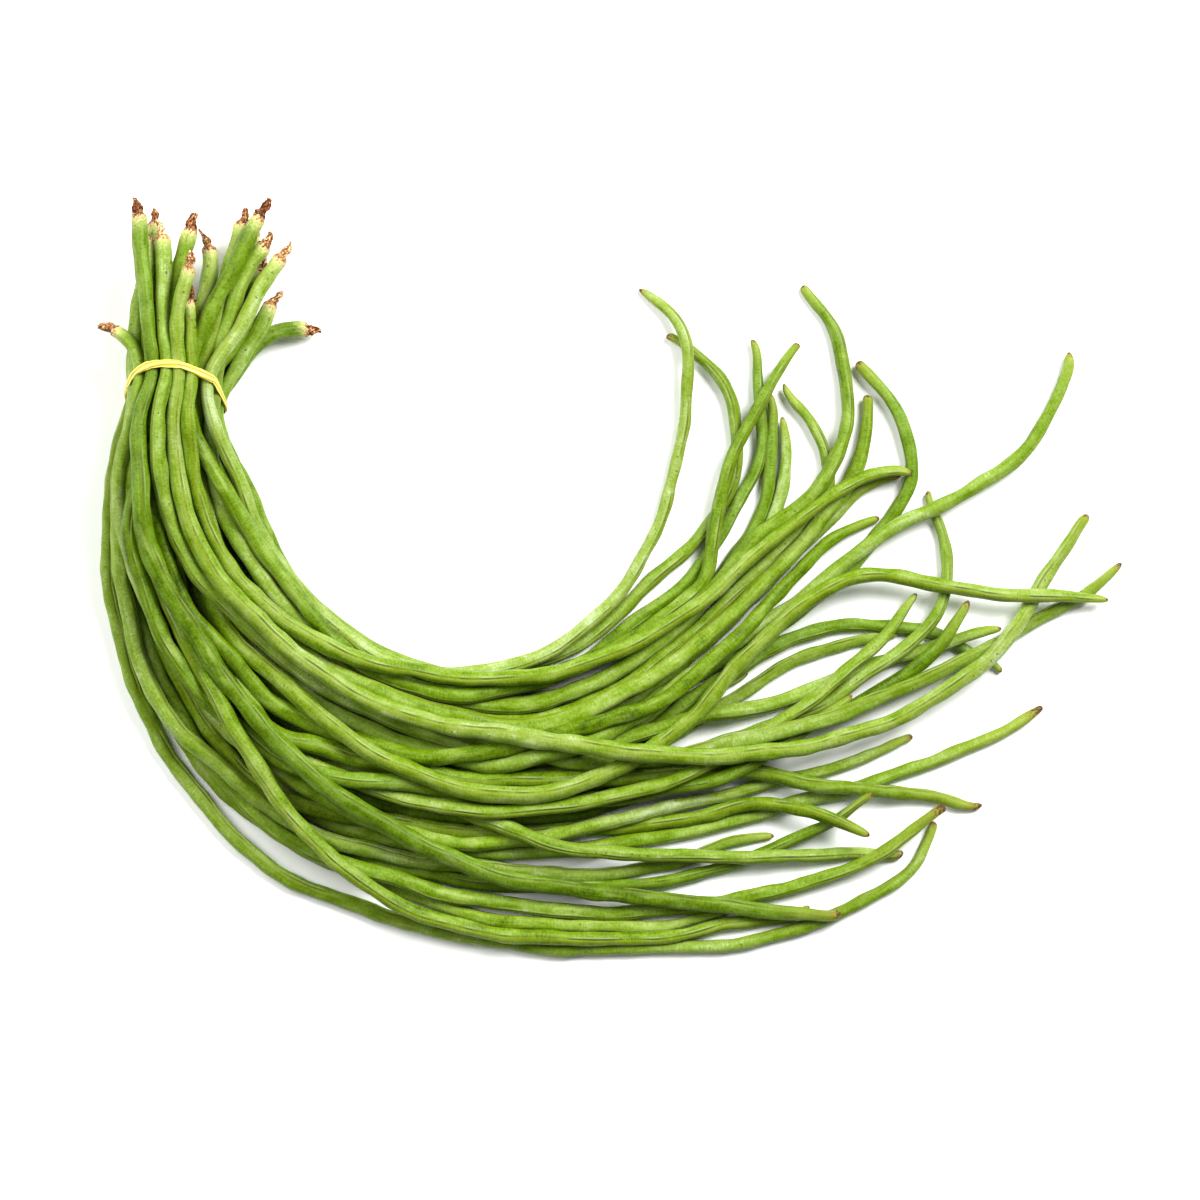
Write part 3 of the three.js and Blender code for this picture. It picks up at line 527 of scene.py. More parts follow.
    def _ends(
        self, tree: Tree, colour: Socket, from_stub: Socket, to_tip: Socket, mottle: Socket, tint: Socket
    ) -> Socket:
        """Colour the cream collar, the brown stalk stub and the yellowing tip.

        Args:
            tree: The skin's node tree.
            colour: The skin so far.
            from_stub: Millimetres from the stub's end.
            to_tip: Millimetres to the pod's tip.
            mottle: Noise that frays the borders.
            tint: How light the pod is here; light pods get a creamier stub.

        Returns:
            The colour's socket.
        """
        frayed, grain, near_end = (
            add_node(tree, "Math", SCALE_ADD, {0: value, 1: factor, 2: base}).outputs[0]
            for value, factor, base in (
                (mottle, self.collar_fray_mm, from_stub),
                (tint, self.bark_tint, mottle),
                (mottle, self.tip_fray_mm, to_tip),
            )
        )
        for coat in self.collar:
            colour = self._lay(tree, colour, coat, frayed)
        bark = add_tones(tree, grain, (0.0, 1.0), self.bark_stops)
        covered = self._shown(tree, [(frayed, *self.bark_mm)])
        sockets = {MIX_SHARE: covered, MIX_BASE: colour, MIX_OVER: bark}
        colour = add_node(tree, "Mix", COLOUR_MIX, sockets).outputs[MIX_RESULT]
        colour = self._lay(tree, colour, self.ripe_tip, to_tip)
        for coat in self.dry_tip:
            colour = self._lay(tree, colour, coat, near_end)
        return colour

    def _relief(self, tree: Tree, mottle: Socket, wrinkle: Socket, crease: Socket, stub: Socket) -> Socket:
        """Bump the skin with its mottling, wrinkles and crease, more deeply on the stub.

        Args:
            tree: The skin's node tree.
            mottle: Fine noise.
            wrinkle: Noise drawn out across the pod.
            crease: The seam's height.
            stub: A share that is 1 on the stub.

        Returns:
            The normal's socket.
        """
        fine = add_node(tree, "Math", SCALE_ADD, {0: mottle, 1: self.mottle_relief, 2: wrinkle}).outputs[0]
        relief = add_node(tree, "Math", {"operation": "ADD"}, {0: crease, 1: fine}).outputs[0]
        deeper = add_node(tree, "Math", SCALE_ADD, {0: stub, 1: self.stub_relief, 2: 1.0}).outputs[0]
        height = add_node(tree, "Math", MULTIPLY, {0: relief, 1: deeper}).outputs[0]
        inputs = {"Strength": self.bump_strength, "Distance": self.bump_mm * MM, "Height": height}
        return add_node(tree, "Bump", {}, inputs).outputs["Normal"]


@dataclass(frozen=True)
class BandRubber:
    """Natural rubber band, cut from extruded tube: dull, a little see-through and streaked, with painted
    shade in the grooves between its twisted ribs.
    """

    pale: str = "f1e97e"
    body: str = "dfd04a"
    deep: str = "a98a24"
    low: str = "cf922c"
    streak_mm: tuple[float, ...] = (0.45, 0.45, 14.0)
    streak_detail: float = 3.0
    streak_roughness: float = 0.5
    # Painted shade: how much darker the grooves between the ribs are painted.
    groove_shade_weight: float = -0.4
    tone_sums: Pair = (0.1, 0.66)
    low_from: float = 36 * MM
    low_to: float = 24 * MM
    low_share: float = 0.5
    bump_strength: float = 0.6
    bump_mm: float = 0.25
    roughness: float = 0.5
    ior: float = 1.52

    def material(self) -> bpy.types.Material:
        """Build the rubber's node material.

        Returns:
            The material.
        """
        material = empty_material("yellow natural rubber")
        tree = material.node_tree
        strand = add_node(tree, "Attribute", {"attribute_name": "strand"}, {}).outputs["Vector"]
        streak = add_grain(tree, strand, self.streak_mm, self.streak_detail, self.streak_roughness)
        # Painted shade: the grooves between the twisted ribs are painted darker.
        groove_shade = add_node(tree, "Attribute", {"attribute_name": "groove_shade"}, {}).outputs["Fac"]
        total = add_node(
            tree, "Math", SCALE_ADD, {0: groove_shade, 1: self.groove_shade_weight, 2: streak}
        ).outputs[0]
        tones = [(0.0, self.deep), (0.5, self.body), (1.0, self.pale)]
        rubber = add_tones(tree, total, self.tone_sums, tones)
        # The band turns a deeper orange towards its bottom.
        spot = add_node(tree, "TexCoord", {}, {}).outputs["Object"]
        rise = add_node(tree, "SeparateXYZ", {}, {"Vector": spot}).outputs["Z"]
        ends = {"From Min": self.low_from, "From Max": self.low_to, "To Min": 0.0, "To Max": self.low_share}
        low = add_node(tree, "MapRange", {}, {"Value": rise, **ends}).outputs["Result"]
        sockets = {MIX_SHARE: low, MIX_BASE: rubber, MIX_OVER: linear(self.low)}
        colour = add_node(tree, "Mix", COLOUR_MIX, sockets).outputs[MIX_RESULT]
        inputs = {"Strength": self.bump_strength, "Distance": self.bump_mm * MM, "Height": total}
        bump = add_node(tree, "Bump", {}, inputs).outputs["Normal"]
        inputs = {"Base Color": colour, "Roughness": self.roughness, "IOR": self.ior, "Normal": bump}
        shader = add_node(tree, "BsdfPrincipled", {}, inputs)
        add_node(tree, "OutputMaterial", {}, {"Surface": shader.outputs["BSDF"]})
        return material


@dataclass
class Centreline:
    """The line that a pod's CAD solid follows, as places and radii along its length, stub first."""

    points: np.ndarray
    radii: np.ndarray
    along: np.ndarray = field(init=False)
    step: float = 2.0 * MM

    def __post_init__(self) -> None:
        """Measure the line."""
        steps = np.linalg.norm(np.diff(self.points, axis=0), axis=1)
        self.along = np.concatenate([[0.0], np.cumsum(steps)])

    @property
    def length(self) -> float:
        """The whole length, in metres."""
        return float(self.along[-1])

    @classmethod
    def from_node(cls, node: bpy.types.Object) -> "Centreline":
        """Read the rings of a pod's solid, from one pointed end to the other.

        Args:
            node: The CAD node of a pod.

        Returns:
            The pod's centreline, from its stub to its tip.
        """
        bm = bmesh.new()
        bm.from_mesh(node.data)
        bmesh.ops.remove_doubles(bm, verts=bm.verts, dist=CORNER_GAP)
        rings = cls._rings(bm, cls._far_end(bm, next(iter(bm.verts))))
        centres = np.array([np.mean([v.co for v in ring], axis=0) for ring in rings])
        radii = np.array(
            [np.mean([np.linalg.norm(np.array(v.co) - c) for v in ring]) for ring, c in zip(rings, centres)]
        )
        bm.free()
        if radii[1] > radii[-2]:
            centres, radii = centres[::-1], radii[::-1]
        return cls(centres, radii)

    @staticmethod
    def _rings(bm: Form, start: Vert) -> list[list[Vert]]:
        """Group a solid's corners by how many edges lie between them and a start.

        Args:
            bm: The merged solid.
            start: The corner to count from.

        Returns:
            The groups, nearest first.
        """
        seen = {start}
        rings = [[start]]
        while rings[-1]:
            ring = []
            for vert in rings[-1]:
                for edge in vert.link_edges:
                    other = edge.other_vert(vert)
                    if other not in seen:
                        seen.add(other)
                        ring.append(other)
            rings.append(ring)
        return rings[:-1]

    @classmethod
    def _far_end(cls, bm: Form, start: Vert) -> Vert:
        """Find a pointed end: the one corner from which every other ring is whole.

        Args:
            bm: The merged solid.
            start: Any corner.

        Returns:
            The corner at one end.
        """
        for candidate in cls._rings(bm, start)[-1]:
            counts = {len(ring) for ring in cls._rings(bm, candidate)[1:-1]}
            if len(counts) == 1:
                return candidate
        raise ValueError("the solid has no pointed end")

    def at(self, places: np.ndarray, soften: float) -> np.ndarray:
        """Follow the line smoothly.

        Args:
            places: Distances from the stub's end, in metres.
            soften: How far the line's bends are rounded off, in metres.

        Returns:
            The points there.
        """
        even = np.linspace(0.0, self.length, int(self.length / self.step) + 1)
        fine = np.stack([self._spline(even, self.points[:, axis]) for axis in range(3)], axis=1)
        reach = int(round(3 * soften / self.step))
        weights = np.exp(-0.5 * (np.arange(-reach, reach + 1) * self.step / soften) ** 2)
        weights /= weights.sum()
        before = 2 * fine[0] - fine[reach:0:-1]
        after = 2 * fine[-1] - fine[-2 : -reach - 2 : -1]
        padded = np.concatenate([before, fine, after])
        soft = np.stack([np.convolve(padded[:, axis], weights, "valid") for axis in range(3)], axis=1)
        return np.stack([np.interp(places, even, soft[:, axis]) for axis in range(3)], axis=1)

    def _spline(self, places: np.ndarray, values: np.ndarray) -> np.ndarray:
        """Interpolate one coordinate with a cubic that has the mean slope at each ring.

        Args:
            places: Distances from the stub's end.
            values: The coordinate at each ring.

        Returns:
            The coordinate at each place.
        """
        slopes = np.gradient(values, self.along)
        i = np.clip(np.searchsorted(self.along, places, "right") - 1, 0, len(self.along) - 2)
        width = self.along[i + 1] - self.along[i]
        t = (places - self.along[i]) / width
        start = (1 + 2 * t) * (1 - t) ** 2 * values[i] + t * (1 - t) ** 2 * width * slopes[i]
        end = t**2 * (3 - 2 * t) * values[i + 1] - t**2 * (1 - t) * width * slopes[i + 1]
        return start + end


@dataclass
class Pod:
    """One pod with its stalk stub: a long tube with seed swellings, a seam, a shoulder and a hooked tip.

    A pair whose name ends in "range" is the least and the most that a pod draws.
    """

    name: str
    index: int
    line: Centreline

    # The grid: points round the pod, crowded at the seam, and rings along it, closer together at the ends.
    sides: int = 32
    seam_crowding: float = 0.62
    body_step: float = 2.1 * MM
    end_step: float = 0.5 * MM
    end_reach: float = 16 * MM
    soften: float = 5.5 * MM

    # Draws: the first seed, and phases of waves in radians.
    first_seed: int = 500
    phase_range: Pair = (0.0, 6.28)
    start_range: Pair = (0.0, 6.0)

    # The body: how full it is, the beat of its seeds, and a belly before some tips.
    fullness: float = 1.07
    seed_pitch: float = 17.0 * MM
    pitch_range: Pair = (0.85, 1.2)
    beat_drift: float = 1.2
    beat_length: float = 0.031
    seed_swell: float = 0.034
    swell: Waves = Waves((0.0031, 0.0052, 0.0093), 0.021)
    belly_range: Pair = (0.0, 0.17)
    belly_from_tip: float = 34 * MM
    belly_width: float = 15 * MM

    # The shoulder below the stub, and the tip, whose narrowing and dome are drawn in millimetres.
    shoulder: float = 4.0 * MM
    shoulder_start: float = 0.7
    shoulder_rise: float = 0.3
    shoulder_bend: float = 2.2
    solid_tip: float = 14 * MM
    narrowing_range: Pair = (13, 28)
    tip_range: Pair = (0.5, 0.84)
    dome_range: Pair = (1.8, 5.0)

    # The stub: its length, the radius of its end and its flare in millimetres, a knob, and its join.
    stub: float = 8.5 * MM
    stretch_range: Pair = (0.75, 1.2)
    stout_range: Pair = (0.85, 1.12)
    stub_end_range: Pair = (0.35, 1.25)
    stub_flare: float = 1.85
    stub_bend: float = 1.2
    stub_size: float = 0.92
    knob_range: Pair = (0.1, 0.4)
    knob_place_range: Pair = (0.2, 0.65)
    knob_width: float = 0.13
    stub_waves: Waves = Waves((0.0008, 0.0013, 0.0023), 0.12)
    stub_round: float = 0.5 * MM
    join_before: float = 1.2 * MM
    join_length: float = 1.6 * MM

    # How it leaves its centreline: waves, kinks, and, drawn in millimetres, a leaning stub and a hooked tip.
    wander: Waves = Waves((0.0071, 0.0123, 0.0197), 0.3 * MM)
    kink: float = 0.5 * MM
    kink_length: float = 0.0135
    kink_drift: float = 1.3
    kink_drift_length: float = 0.043
    lean_past_stub: float = 3 * MM
    lean_bend: float = 1.5
    lean_range: Pair = (-3.2, 3.2)
    lean_lift: float = 0.5
    wobble: float = 0.5 * MM
    wobble_length: float = 1.6 * MM
    wobble_fade: float = 0.3
    hook_reach: float = 11 * MM
    hook_range: Pair = (0.2, 2.6)

    # The turn of the seam round the pod, in radians.
    roll_spread: float = 1.15
    roll_drift_range: Pair = (-0.5, 0.5)
    roll_drift_length: float = 0.2
    roll: Waves = Waves((0.021, 0.047), 0.14)

    # The section as a share of the radius: flattening, corners, ribs beside the seam, and dents.
    flat_range: Pair = (-0.035, 0.06)
    squareness: float = 0.018
    corner: float = 0.035
    ribs: tuple[Rib, ...] = (Rib(0.045, 1.0, 9.0), Rib(0.03, -32.0, 13.0), Rib(-0.065, -12.0, 5.0))
    rib_depth: float = 0.6
    rib_waves: Waves = Waves((0.011, 0.027), 0.22)
    rib_start: float = 50 * MM
    rib_rise: float = 80 * MM
    rib_least: float = 0.2
    dent: float = 0.022
    dent_turns: tuple = ((0.0047, 1), (0.0082, 2), (0.0031, 3), (0.012, 1))
    fold_turns: tuple = ((3, 0.2), (5, 0.14))
    folds_past_stub: float = 1.5 * MM
    bark: float = 0.14

    # What the skin reads: lightness of the pod, its slow changes, and how far the tip has browned.
    tint_range: Pair = (-0.13, 0.13)
    tint_waves: Waves = Waves((0.02, 0.045), 0.05)
    browning_range: Pair = (0.3, 1.6)

    def __post_init__(self) -> None:
        """Seed the pod's own draws."""
        self.draw = np.random.default_rng(self.first_seed + self.index)
        self.narrowing = self.draw.uniform(*self.narrowing_range) * MM
        self.tip_share = self.draw.uniform(*self.tip_range)
        self.dome = self.draw.uniform(*self.dome_range) * MM
        self.stretch = self.draw.uniform(*self.stretch_range)
        self.stub *= self.stretch

    def build(self) -> bpy.types.Object:
        """Roll a grid into the pod's tube and bend it along the centreline.

        Returns:
            The pod's object.
        """
        places = self._places()
        points = self.line.at(places, self.soften)
        radii = self._radii(places)
        tangents = np.gradient(points, places, axis=0)
        tangents /= np.linalg.norm(tangents, axis=1)[:, None]
        side = np.cross(tangents, UP)
        side /= np.linalg.norm(side, axis=1)[:, None]
        up = np.cross(side, tangents)
        points = points + self._crook(places, side, up)

        around = np.linspace(0.0, TURN, self.sides + 1)
        around = around - self.seam_crowding * np.sin(around)
        roll = math.pi / 2 + self.draw.normal(0, self.roll_spread)
        roll = roll + self.draw.uniform(*self.roll_drift_range) * places / self.roll_drift_length
        roll = roll + self._waves(places, self.roll)
        section = self._section(places, around)
        across = section * np.cos(around)[None, :] * radii[:, None]
        rise = section * np.sin(around)[None, :] * radii[:, None]
        turned_side = np.cos(roll)[:, None] * across - np.sin(roll)[:, None] * rise
        turned_up = np.sin(roll)[:, None] * across + np.cos(roll)[:, None] * rise
        skin = (
            points[:, None, :]
            + side[:, None, :] * turned_side[:, :, None]
            + up[:, None, :] * turned_up[:, :, None]
        )
        skin[:, :, 2] = np.maximum(skin[:, :, 2], 0.0)
        lengthwise = np.broadcast_to(places[:, None] + self.index, across.shape)
        straight = np.stack([across, rise, lengthwise], axis=2)
        return self._roll_up(skin, straight, places)

    def _places(self) -> np.ndarray:
        """Where the rings go along the pod.

        Returns:
            Distances from the stub's end.
        """
        total = self.line.length
        count = int((total - 2 * self.end_reach) / self.body_step)
        body = np.linspace(self.end_reach, total - self.end_reach, count)
        ends = np.arange(0.0, self.end_reach, self.end_step)
        return np.concatenate([ends, body, total - ends[::-1]])

    def _radii(self, places: np.ndarray) -> np.ndarray:
        """The radius along the pod: the stub's, then the body's.

        Args:
            places: Distances from the stub's end.

        Returns:
            The radius at each place.
        """
        body = self._body_radii(places)
        wood = self._stub_radii(places)
        join = np.clip((places - self.stub + self.join_before) / self.join_length, 0, 1)
        join = join * join * (3 - 2 * join)
        radii = wood * (1 - join) + body * join
        radii[0] = radii[-1] = 0.0
        return radii

    def _body_radii(self, places: np.ndarray) -> np.ndarray:
        """Shape the body: the solid's fullness, seeds, shoulder and tip.

        Args:
            places: Distances from the stub's end.

        Returns:
            The radius at each place.
        """
        total = self.line.length
        full = np.interp(places, self.line.along, self._filled())
        pitch = self.seed_pitch * self.draw.uniform(*self.pitch_range)
        drift = self.beat_drift * np.sin(places / self.beat_length + self.draw.uniform(*self.start_range))
        swell = self.seed_swell * np.sin(TURN * places / pitch + drift) + self._waves(places, self.swell)
        bulge = np.exp(-(((total - places - self.belly_from_tip) / self.belly_width) ** 2))
        full = full * (1.0 + swell + self.draw.uniform(*self.belly_range) * bulge) * self.fullness

        past_stub = np.clip((places - self.stub) / self.shoulder, 0, 1)
        neck = self.shoulder_start + self.shoulder_rise * np.sqrt(1 - (1 - past_stub) ** self.shoulder_bend)
        left = np.clip((total - places) / self.narrowing, 0, 1)
        slim = self.tip_share + (1 - self.tip_share) * np.sin(left * math.pi / 2)
        dome = np.sqrt(1 - (1 - np.clip((total - places) / self.dome, 0, 1)) ** 2)
        return full * neck * slim * dome

    def _stub_radii(self, places: np.ndarray) -> np.ndarray:
        """Shape the stub: an uneven twig that flares towards the pod, with a knob.

        Args:
            places: Distances from the stub's end.

        Returns:
            The radius at each place; past the stub it has no meaning.
        """
        share = np.clip(places / self.stub, 0, 1)
        flare = self.stub_flare * self.draw.uniform(*self.stout_range) * share**self.stub_bend
        wood = (self.draw.uniform(*self.stub_end_range) + flare) * MM * self.stub_size
        height = self.draw.uniform(*self.knob_range)
        off_knob = (share - self.draw.uniform(*self.knob_place_range)) / self.knob_width
        wood = wood * (1 + height * np.exp(-(off_knob**2)) + self._waves(places, self.stub_waves))
        return wood * np.clip(places / self.stub_round, 0, 1) ** 0.5

    def _filled(self) -> np.ndarray:
        """The solid's radii without its narrow ends, so that the ends can be shaped afresh.

        Returns:
            A radius for each ring of the line.
        """
        along = self.line.along
        inside = (along > self.stub + 2 * self.shoulder) & (along < self.line.length - self.solid_tip)
        return np.interp(along, along[inside], self.line.radii[inside])

    def _waves(self, places: np.ndarray, waves: Waves) -> np.ndarray:
        """Add up waves at drawn phases.

        Args:
            places: Distances from the stub's end.
            waves: Their lengths and height.

        Returns:
            The sum of the waves.
        """
        return sum(
            waves.size * np.sin(places / length + self.draw.uniform(*self.phase_range))
            for length in waves.lengths
        )

    def _crook(self, places: np.ndarray, side: np.ndarray, up: np.ndarray) -> np.ndarray:
        """Shift the stub and the tip aside, as they dry and curl, and let the pod wander a little.

        Args:
            places: Distances from the stub's end.
            side: Sideways direction at each place.
            up: Upward direction at each place.

        Returns:
            The shift at each place.
        """
        near_stub = np.clip(1 - places / (self.stub + self.lean_past_stub), 0, 1) ** self.lean_bend
        near_tip = np.clip(1 - (self.line.length - places) / self.hook_reach, 0, 1) ** 2
        lean = self.draw.uniform(*self.lean_range, 2) * MM
        hook = self.draw.choice([-1, 1]) * self.draw.uniform(*self.hook_range) * MM
        beat = np.sin(places / self.wobble_length + self.draw.uniform(*self.start_range))
        wobble = self.wobble * beat * (near_stub > 0)
        aside = lean[0] * near_stub + wobble * near_stub**self.wobble_fade + hook * near_tip
        aside = aside + self._waves(places, self.wander)
        drift = np.sin(places / self.kink_drift_length + self.draw.uniform(*self.start_range))
        pace = places / self.kink_length + self.kink_drift * drift + self.draw.uniform(*self.start_range)
        aside = aside + self.kink * 2 / math.pi * np.arcsin(np.sin(pace))
        lift = np.abs(lean[1]) * near_stub * self.lean_lift
        return side * aside[:, None] + up * lift[:, None]

    def _section(self, places: np.ndarray, around: np.ndarray) -> np.ndarray:
        """The section's radius as a share of the round one: a little oval, with the seam's groove and ridges.

        Args:
            places: Distances from the stub's end.
            around: Angles from the seam.

        Returns:
            A share for each place and angle.
        """
        off_seam = np.degrees(np.where(around > math.pi, around - TURN, around))
        seam = sum(rib.height * np.exp(-(((off_seam - rib.middle) / rib.width) ** 2)) for rib in self.ribs)
        flat = self.draw.uniform(*self.flat_range) * np.cos(2 * around) - self.squareness * np.cos(4 * around)
        corner = self.corner * np.cos(3 * around + self.draw.uniform(0, TURN))
        depth = self.rib_depth + self._waves(places, self.rib_waves)
        depth = depth * np.clip((places - self.rib_start) / self.rib_rise, self.rib_least, 1.0)
        shape = 1.0 + (flat + corner)[None, :] + depth[:, None] * seam[None, :]
        dents = self._dents(places, around)
        edge = np.clip((places - self.stub) / self.shoulder, 0, 1)
        edge = edge * np.clip((self.line.length - places) / self.narrowing, 0, 1)
        return 1.0 + (shape - 1.0) * edge[:, None] + dents

    def _dents(self, places: np.ndarray, around: np.ndarray) -> np.ndarray:
        """Shallow dents over the pod, and deep folds on the dried stub.

        Args:
            places: Distances from the stub's end.
            around: Angles from the seam.

        Returns:
            A change of radius for each place and angle.
        """
        dents = np.zeros((len(places), len(around)))
        for length, turns in self.dent_turns:
            phase = self.draw.uniform(*self.phase_range, 2)
            turn = np.cos(turns * around + phase[1])
            dents += self.dent * np.sin(places / length + phase[0])[:, None] * turn[None, :]
        on_stub = np.clip(1 - places / (self.stub + self.folds_past_stub), 0, 1) ** 0.5
        starts = self.draw.uniform(*self.start_range, 2)
        folds = sum(
            depth * np.cos(turns * around + start)[None, :]
            for (turns, depth), start in zip(self.fold_turns, starts)
        )
        bark = self.draw.normal(0, self.bark, dents.shape)
        bark[:, -1] = bark[:, 0]
        return dents + (folds + bark) * on_stub[:, None]

    def _roll_up(self, skin: np.ndarray, straight: np.ndarray, places: np.ndarray) -> bpy.types.Object:
        """Make the mesh from a grid, and keep on each point its place on the straightened pod.

        Args:
            skin: The place of each grid point.
            straight: Its place on the straightened pod.
            places: Distances from the stub's end.

        Returns:
            The pod's object.
        """
        bm = bmesh.new()
        marks = bm.verts.layers.float_vector.new("straight")
        numbers = bm.verts.layers.float
        from_stub, to_tip, tint = (numbers.new(name) for name in ("from_stub", "to_tip", "tint"))
        own = self.draw.uniform(*self.tint_range)
        browning = self.draw.uniform(*self.browning_range)
        lightness = own + self._waves(places, self.tint_waves)
        for vert, column, row in grid_points(bm, self.sides, len(places) - 1):
            vert.co = skin[row, column]
            vert[marks] = Vector(straight[row, column])
            vert[from_stub] = places[row] / MM / self.stretch
            vert[to_tip] = (self.line.length - places[row]) / MM * browning
            vert[tint] = lightness[row]
        bmesh.ops.remove_doubles(bm, verts=bm.verts, dist=MERGE_GAP)
        bmesh.ops.dissolve_degenerate(bm, edges=bm.edges, dist=MERGE_GAP)
        bmesh.ops.recalc_face_normals(bm, faces=bm.faces)
        for face in bm.faces:
            face.smooth = True
        return add_object(bm, self.name)


@dataclass
class RubberBand:
    """The stretched band: a flat strand of a few twisted ribs, laid along the ring of its CAD solid."""

    node: bpy.types.Object
    name: str = "rubber_band_strand"
    rings: int = 260
    around: int = 28
    ribs: int = 4
    twists: float = 5.0
    width: float = 3.8 * MM
    thickness: float = 1.3 * MM
    rib_width: float = 0.06
    rib_height: float = 0.3
    squeezes: tuple = ((11, 0.08), (29, 0.05))
    side_width: float = 0.86
    top_extra: float = 0.14
    ease: float = 1.004
    spread: float = 0.24
    corner_digits: int = 6

    def build(self) -> bpy.types.Object:
        """Sweep the strand's section round the ring.

        Returns:
            The band's object.
        """
        centre, outward = self._path()
        along = np.roll(centre, -1, axis=0) - np.roll(centre, 1, axis=0)
        along /= np.linalg.norm(along, axis=1)[:, None]
        wide = np.cross(outward, along)
        wide /= np.linalg.norm(wide, axis=1)[:, None]
        turn = np.linspace(0, TURN, self.around + 1)
        length = np.linalg.norm(np.diff(centre, axis=0), axis=1).sum()
        bm = bmesh.new()
        strand = bm.verts.layers.float_vector.new("strand")
        groove_shade = bm.verts.layers.float.new("groove_shade")
        for vert, column, grid_row in grid_points(bm, self.around, self.rings):
            row = grid_row % self.rings
            share = row / self.rings
            rib = math.cos(self.ribs * turn[column] + TURN * self.twists * share)
            squeeze = 1.0
            for waves, size in self.squeezes:
                squeeze += size * math.sin(waves * TURN * share)
            squeeze *= self.side_width + self.top_extra * abs(outward[row][2])
            across = self.width / 2 * math.cos(turn[column]) * (1 + self.rib_width * rib) * squeeze
            out = self.thickness / 2 * math.sin(turn[column]) * (1 + self.rib_height * rib)
            place = centre[row] + wide[row] * across + outward[row] * out
            vert.co = (place[0], place[1], max(0.0, place[2]))
            vert[strand] = Vector((across, out, share * length))
            # Each point's depth in a groove between ribs, which the rubber's material paints darker as
            # painted shade.
            vert[groove_shade] = max(0.0, -rib)
        bmesh.ops.remove_doubles(bm, verts=bm.verts, dist=MERGE_GAP)
        bmesh.ops.recalc_face_normals(bm, faces=bm.faces)
        for face in bm.faces:
            face.smooth = True
        return add_object(bm, self.name)

    def _path(self) -> tuple[np.ndarray, np.ndarray]:
        """Read the ring's middle line from the solid, and smooth it.

        Returns:
            Evenly spread points and their outward directions.
        """
        places = {tuple(np.round(v.co, self.corner_digits)) for v in self.node.data.vertices}
        corners = np.array(sorted(places))
        middle = (corners.min(axis=0) + corners.max(axis=0)) / 2
        angles = np.arctan2(corners[:, 2] - middle[2], corners[:, 0] - middle[0])
        corners = corners[np.argsort(angles)]
        order = np.sort(angles)
        wrapped = np.concatenate([order - TURN, order, order + TURN])
        tripled = np.concatenate([corners, corners, corners])
        line = []
        for angle in np.linspace(-math.pi, math.pi, self.rings, endpoint=False):
            weight = np.exp(-0.5 * ((wrapped - angle) / self.spread) ** 2)
            line.append((tripled * weight[:, None]).sum(axis=0) / weight.sum())
        line = np.array(line)
        line[:, [0, 2]] = middle[[0, 2]] + (line[:, [0, 2]] - middle[[0, 2]]) * self.ease
        outward = line - middle
        outward[:, 1] = 0.0
        outward /= np.linalg.norm(outward, axis=1)[:, None]
        return line, outward


class Lamp(NamedTuple):
    """A square light that faces the bunch: its place and edge in metres, and its power in watts."""

    name: str
    place: tuple[float, float, float]
    size: float
    watts: float


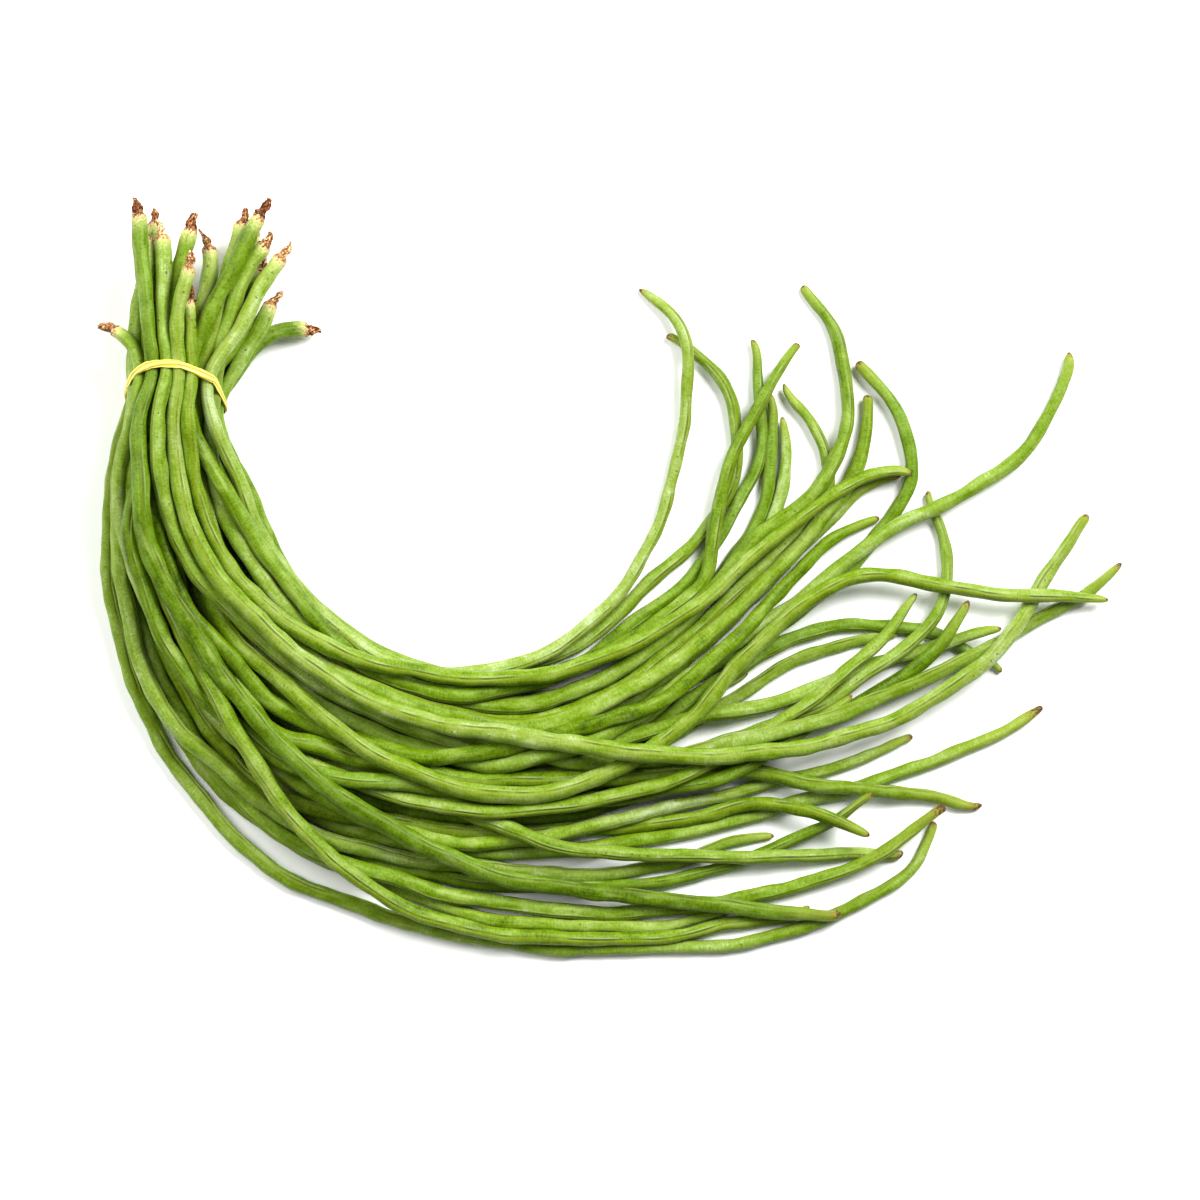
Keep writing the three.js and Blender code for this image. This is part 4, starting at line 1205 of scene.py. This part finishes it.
@dataclass
class Studio:
    """A white table seen from straight above, with soft lights from the upper right and the left."""

    target: Pair = (-0.00626, -0.01096)
    height: float = 3.6
    shown_width: float = 0.6
    sensor_mm: float = 36.0
    sight: float = 20.0
    lamps: tuple[Lamp, ...] = (
        Lamp("key light", (1.35, 1.28, 1.95), 1.25, 139.0),
        Lamp("fill light", (-1.15, 0.6, 1.1), 1.3, 33.36),
    )
    sky_colour: str = "ffffff"
    sky: float = 0.195
    floor: float = 6.0
    laminate: str = "f9faf7"
    laminate_roughness: float = 0.9
    laminate_specular: float = 0.1

    def build(self) -> None:
        """Make the floor, the lights and the camera."""
        self._camera()
        self._floor()
        for lamp in self.lamps:
            self._light(lamp)
        world = bpy.data.worlds.new("soft white room")
        world.use_nodes = True
        background = world.node_tree.nodes["Background"]
        background.inputs["Color"].default_value = linear(self.sky_colour)
        background.inputs["Strength"].default_value = self.sky
        bpy.context.scene.world = world
        bpy.context.scene.view_settings.view_transform = "Standard"

    def _camera(self) -> None:
        """Hang the camera over the picture's middle, with the bunch's Y upwards in the picture."""
        camera = bpy.data.cameras.new("camera over table")
        camera.sensor_width = self.sensor_mm
        camera.lens = camera.sensor_width * self.height / self.shown_width
        camera.clip_end = self.sight
        rig = bpy.data.objects.new("camera over table", camera)
        rig.location = (*self.target, self.height)
        bpy.context.scene.collection.objects.link(rig)
        bpy.context.scene.camera = rig

    def _light(self, lamp: Lamp) -> None:
        """Hang a light.

        Args:
            lamp: Where it hangs, how large it is and how bright.
        """
        light = bpy.data.lights.new(lamp.name, "AREA")
        light.size = lamp.size
        light.energy = lamp.watts
        rig = bpy.data.objects.new(lamp.name, light)
        rig.location = lamp.place
        rig.rotation_euler = (Vector(lamp.place) * -1).to_track_quat("-Z", "Y").to_euler()
        bpy.context.scene.collection.objects.link(rig)

    def _floor(self) -> None:
        """Lay the table: matt white laminate, which takes soft shadows and mirrors nothing."""
        bm = bmesh.new()
        bmesh.ops.create_grid(bm, x_segments=1, y_segments=1, size=self.floor / 2)
        table = add_object(bm, "white_table")
        material = bpy.data.materials.new("matt white laminate")
        material.use_nodes = True
        shader = material.node_tree.nodes["Principled BSDF"]
        shader.inputs["Base Color"].default_value = linear(self.laminate)
        shader.inputs["Roughness"].default_value = self.laminate_roughness
        shader.inputs["Specular IOR Level"].default_value = self.laminate_specular
        table.data.materials.append(material)


@dataclass
class BeanBunch:
    """The whole bunch: its pods and its band, built on the frame's nodes."""

    frame: dict
    band_node: str = "rubber_band"

    def build(self) -> None:
        """Build and dress every piece, and log each one."""
        slots = {part["node"]: part["material_slot"] for part in self.frame["record"]["subparts"]}
        skins = {skin.tone.value: skin.material() for skin in POD_SKINS}
        for index, node in enumerate(sorted(self.frame["nodes"])):
            if node == self.band_node:
                continue
            line = Centreline.from_node(self.frame["nodes"][node])
            piece = Pod(f"{node}_pod", index, line).build()
            self._declare(piece, node, slots[node], skins[slots[node]])
        band = RubberBand(self.frame["nodes"][self.band_node]).build()
        self._declare(band, self.band_node, slots[self.band_node], BandRubber().material())

    def _declare(self, piece: bpy.types.Object, node: str, slot: str, material: bpy.types.Material) -> None:
        """Give a piece its material and body, hide the CAD node that it stands for, and log it.

        Args:
            piece: The finished piece.
            node: The CAD node that it stands for.
            slot: The record's material slot; not used.
            material: Its finish.
        """
        piece.data.materials.append(material)
        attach(piece, "root")
        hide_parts(node)
        LOG.info("%s: %d faces, finish %s", piece.name, len(piece.data.polygons), material.name)


POD_SKINS = (
    PodSkin(Tone.LIGHT, shade="3b5000", body="668308", glow="849944", bloom_and_highlight="a2b481", seam="6f791a"),
    PodSkin(Tone.GREEN, shade="334800", body="5f7c05", glow="7a9336", bloom_and_highlight="9bad70", seam="616e14"),
    PodSkin(Tone.DEEP, shade="2f4300", body="587604", glow="728f31", bloom_and_highlight="92a963", seam="556610"),
)


def main() -> None:
    """Load the frame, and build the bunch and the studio."""
    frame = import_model()
    Studio().build()
    BeanBunch(frame).build()


if __name__ == "__main__":
    main()
